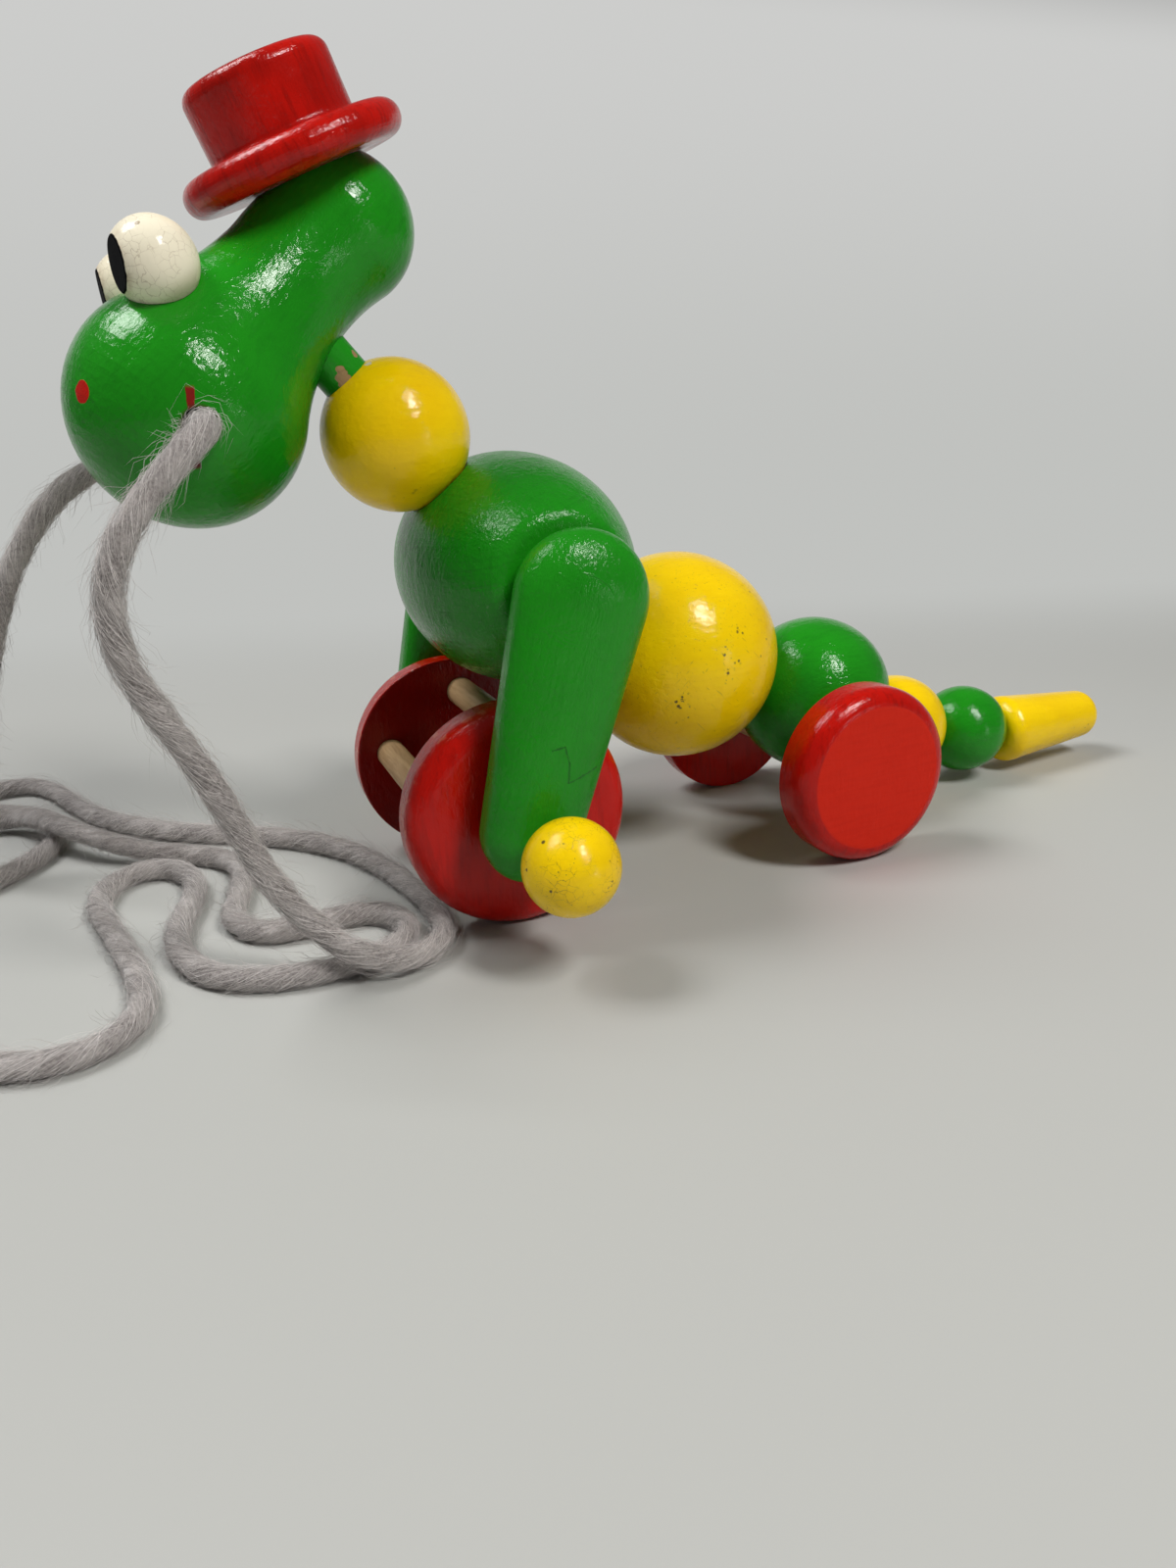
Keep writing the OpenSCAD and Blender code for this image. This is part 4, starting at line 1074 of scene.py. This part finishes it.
def wool_core():
    """Dull wool, with painted shade in its hollows, dark between its strands."""
    p = Paint("wool_core", Sheen_Weight=0.5, Sheen_Roughness=0.5, Specular_IOR_Level=0.1)
    drift, fine = p.noise(120, 3), p.noise(1300, 4, 0.7)
    # Painted shade: darker where the fine bumps are low, between the strands
    p.colour = p.mix(p.band(fine, 0.35, 0.7), WOOL_IN_SHADE, WOOL)
    p.colour = p.mix(p.band(drift, 0.4, 0.7, 0.0, 0.3), p.colour, WOOL_PALE)
    p.rough = p.band(fine, 0.0, 1.0, 0.85, 1.0)
    p.layers = [(fine, 0.25)]
    return finished(p)


def wool_fibre():
    """Each fibre's own shade of the wool, from its UV map."""
    p = Paint("wool_fibre", Sheen_Weight=0.3, Sheen_Roughness=0.5, Specular_IOR_Level=0.1)
    tone = p.node("SeparateXYZ", {0: p.node("UVMap", uv_map="shade").outputs[0]}).outputs[0]
    p.colour = p.mix(p.band(tone, 0.0, 1.0), WOOL, WOOL_PALE)
    p.colour = p.mix(p.band(p.noise(70, 2), 0.4, 0.7, 0.0, 0.4), p.colour, WOOL)
    p.rough = p.band(tone, 0.0, 1.0, 0.8, 0.95)
    return finished(p)


def elastic_string():
    """Woven elastic."""
    p = Paint("elastic_string", Specular_IOR_Level=0.2)
    weave = p.noise(1500, 2)
    p.colour = p.mix(weave, (0.42, 0.38, 0.30, 1), (0.62, 0.58, 0.50, 1))
    p.rough = p.band(weave, 0.0, 1.0, 0.75, 0.95)
    p.layers = [(weave, 0.1)]
    return finished(p)


give(green_head(), head_form)
give(green_torso(), torso_form)
give(green_arm(), *arms)
for paint, *names in (
    (green_neck_dowel(), "neck_dowel"),
    (finished(enamel("green_hip", GREEN, LENGTHWISE, 0.150, 0.16)), "hip_ball"),
    (finished(enamel("green_tail", GREEN, LENGTHWISE, 0.130)), "tail_ball_small"),
    (yellow_neck(), "neck_ball"),
    (yellow_body(), "body_ball"),
    (yellow_hand(), "hand_ball_left", "hand_ball_right"),
    (yellow_tail(), "tail_ball_large", "tail_tip"),
    (red_disc(), "front_wheel_left", "front_wheel_right"),
    (red_rear(), "rear_wheel_left", "rear_wheel_right"),
    (red_hat(), "hat"),
    (ivory_eye("eye_left"), "eye_left"),
    (ivory_eye("eye_right"), "eye_right"),
    (bare_wood(), "cage_dowels", "front_axle", "rear_axle", "shoulder_dowels", "hat_dowel", "eye_dowels"),
):
    give(paint, *(nodes[name] for name in names))
give(elastic_string(), *string_pieces)
give(wool_core(), yarn_near, yarn_far, yarn_knot, *yarn_tails)
give(wool_fibre(), fuzz_near, fuzz_far)

# Floor, backdrop and soft studio light

BACKWARD = Vector((-0.37, -0.93, 0))
FLOOR_GREY, FLOOR_DIM = (0.490, 0.493, 0.472, 1), 0.97
# Colours of the backdrop's painted glow: grey brightening upward, and the dark room above and beside
BACK_LOW, BACK_HIGH = (0.530, 0.538, 0.520, 1), (0.610, 0.612, 0.602, 1)
ROOM_DARK = (0.120, 0.122, 0.120, 1)
HALF_WIDTH, FLOOR_NEAR, FLOOR_FAR, BEND_R, BACKDROP_TOP = 3.0, 2.0, -0.9, 0.5, 2.4
GREY_BEHIND = 0.14, 0.44
GREY_RISE, DARK_ABOVE = (0.0, 0.75), (0.68, 0.95)
MIDDLE_X, DARK_BESIDE = -0.5, (1.2, 1.8)
AIM = Vector((0.03, 0, 0.09))


def make_stage():
    """A pale floor that curves up into the backdrop behind the toy, which glows with its own grey."""
    profile = [(FLOOR_NEAR, 0.0), (FLOOR_FAR, 0.0)]
    for t in np.linspace(0, math.pi / 2, 17)[1:]:
        profile.append((FLOOR_FAR - BEND_R * math.sin(t), BEND_R * (1 - math.cos(t))))
    profile.append((FLOOR_FAR - BEND_R, BACKDROP_TOP))
    points = [(x, y, z) for y, z in profile for x in (-HALF_WIDTH, HALF_WIDTH)]
    faces = [(2 * i, 2 * i + 1, 2 * i + 3, 2 * i + 2) for i in range(len(profile) - 1)]
    sweep = from_arrays("studio_sweep", points, faces)
    p = Paint("studio_grey", Specular_IOR_Level=0.25)
    faint = p.noise(6, 2)
    p.colour = p.mix(faint, FLOOR_GREY, tuple(x * FLOOR_DIM for x in FLOOR_GREY[:3]) + (1,))
    p.rough = p.band(faint, 0.0, 1.0, 0.5, 0.6)
    give(finished(p), sweep)
    backdrop_glow(p)


def backdrop_glow(p):
    """Far behind the toy, the stage's own light takes over for the camera and for reflections."""
    x, _, z = p.node("SeparateXYZ", {0: p.place}).outputs
    ray = p.node("LightPath").outputs
    seen = p.either(ray["Is Camera Ray"], ray["Is Glossy Ray"], ray["Is Transmission Ray"])
    behind = p.band(p.along(BACKWARD, (0, 0, 0)), *GREY_BEHIND)
    # Painted light in the glow: brighter higher up, and dark above and beside as the dark room
    grey = p.mix(p.band(z, *GREY_RISE), BACK_LOW, BACK_HIGH)
    grey = p.mix(p.band(z, *DARK_ABOVE), grey, ROOM_DARK)
    beside = p.math("ABSOLUTE", p.math("ADD", x, -MIDDLE_X))
    grey = p.mix(p.band(beside, *DARK_BESIDE), grey, ROOM_DARK)
    glow = p.node("Emission", {"Color": grey, "Strength": 1.0}).outputs[0]
    blend = p.node("MixShader", {0: p.times(seen, behind), 1: p.shader.outputs[0], 2: glow}).outputs[0]
    p.give(p.tree.nodes["Material Output"].inputs["Surface"], blend)


def soft_light(name, heading, distance, width, height, watts, colour=(1, 1, 1)):
    """A soft light in the direction given from the middle of the toy."""
    heading = Vector(heading).normalized()
    light = bpy.data.lights.new(name, "AREA")
    light.shape, light.size, light.size_y = "RECTANGLE", width, height
    light.energy, light.color = watts, colour
    lamp = bpy.data.objects.new(name, light)
    lamp.location = AIM + heading * distance
    lamp.rotation_mode = "QUATERNION"
    lamp.rotation_quaternion = heading.to_track_quat("Z", "Y")
    bpy.context.scene.collection.objects.link(lamp)


def make_light():
    """A large lamp overhead, a window beside the camera, and a weak low one."""
    soft_light("overhead", (0.48, -0.22, 0.85), 1.5, 0.60, 0.60, 15.0)
    soft_light("window", (-0.25, 0.62, 0.74), 1.3, 0.24, 0.42, 11.5, (1.0, 0.985, 0.96))
    soft_light("low_window", (-0.55, 0.83, 0.02), 1.6, 0.14, 0.14, 0.8)
    world = bpy.data.worlds.new("studio")
    world.use_nodes = True
    world.node_tree.nodes["Background"].inputs["Color"].default_value = (0.85, 0.86, 0.86, 1)
    world.node_tree.nodes["Background"].inputs["Strength"].default_value = 0.13
    bpy.context.scene.world = world


make_stage()
make_light()
bpy.context.scene.view_settings.view_transform = "Standard"
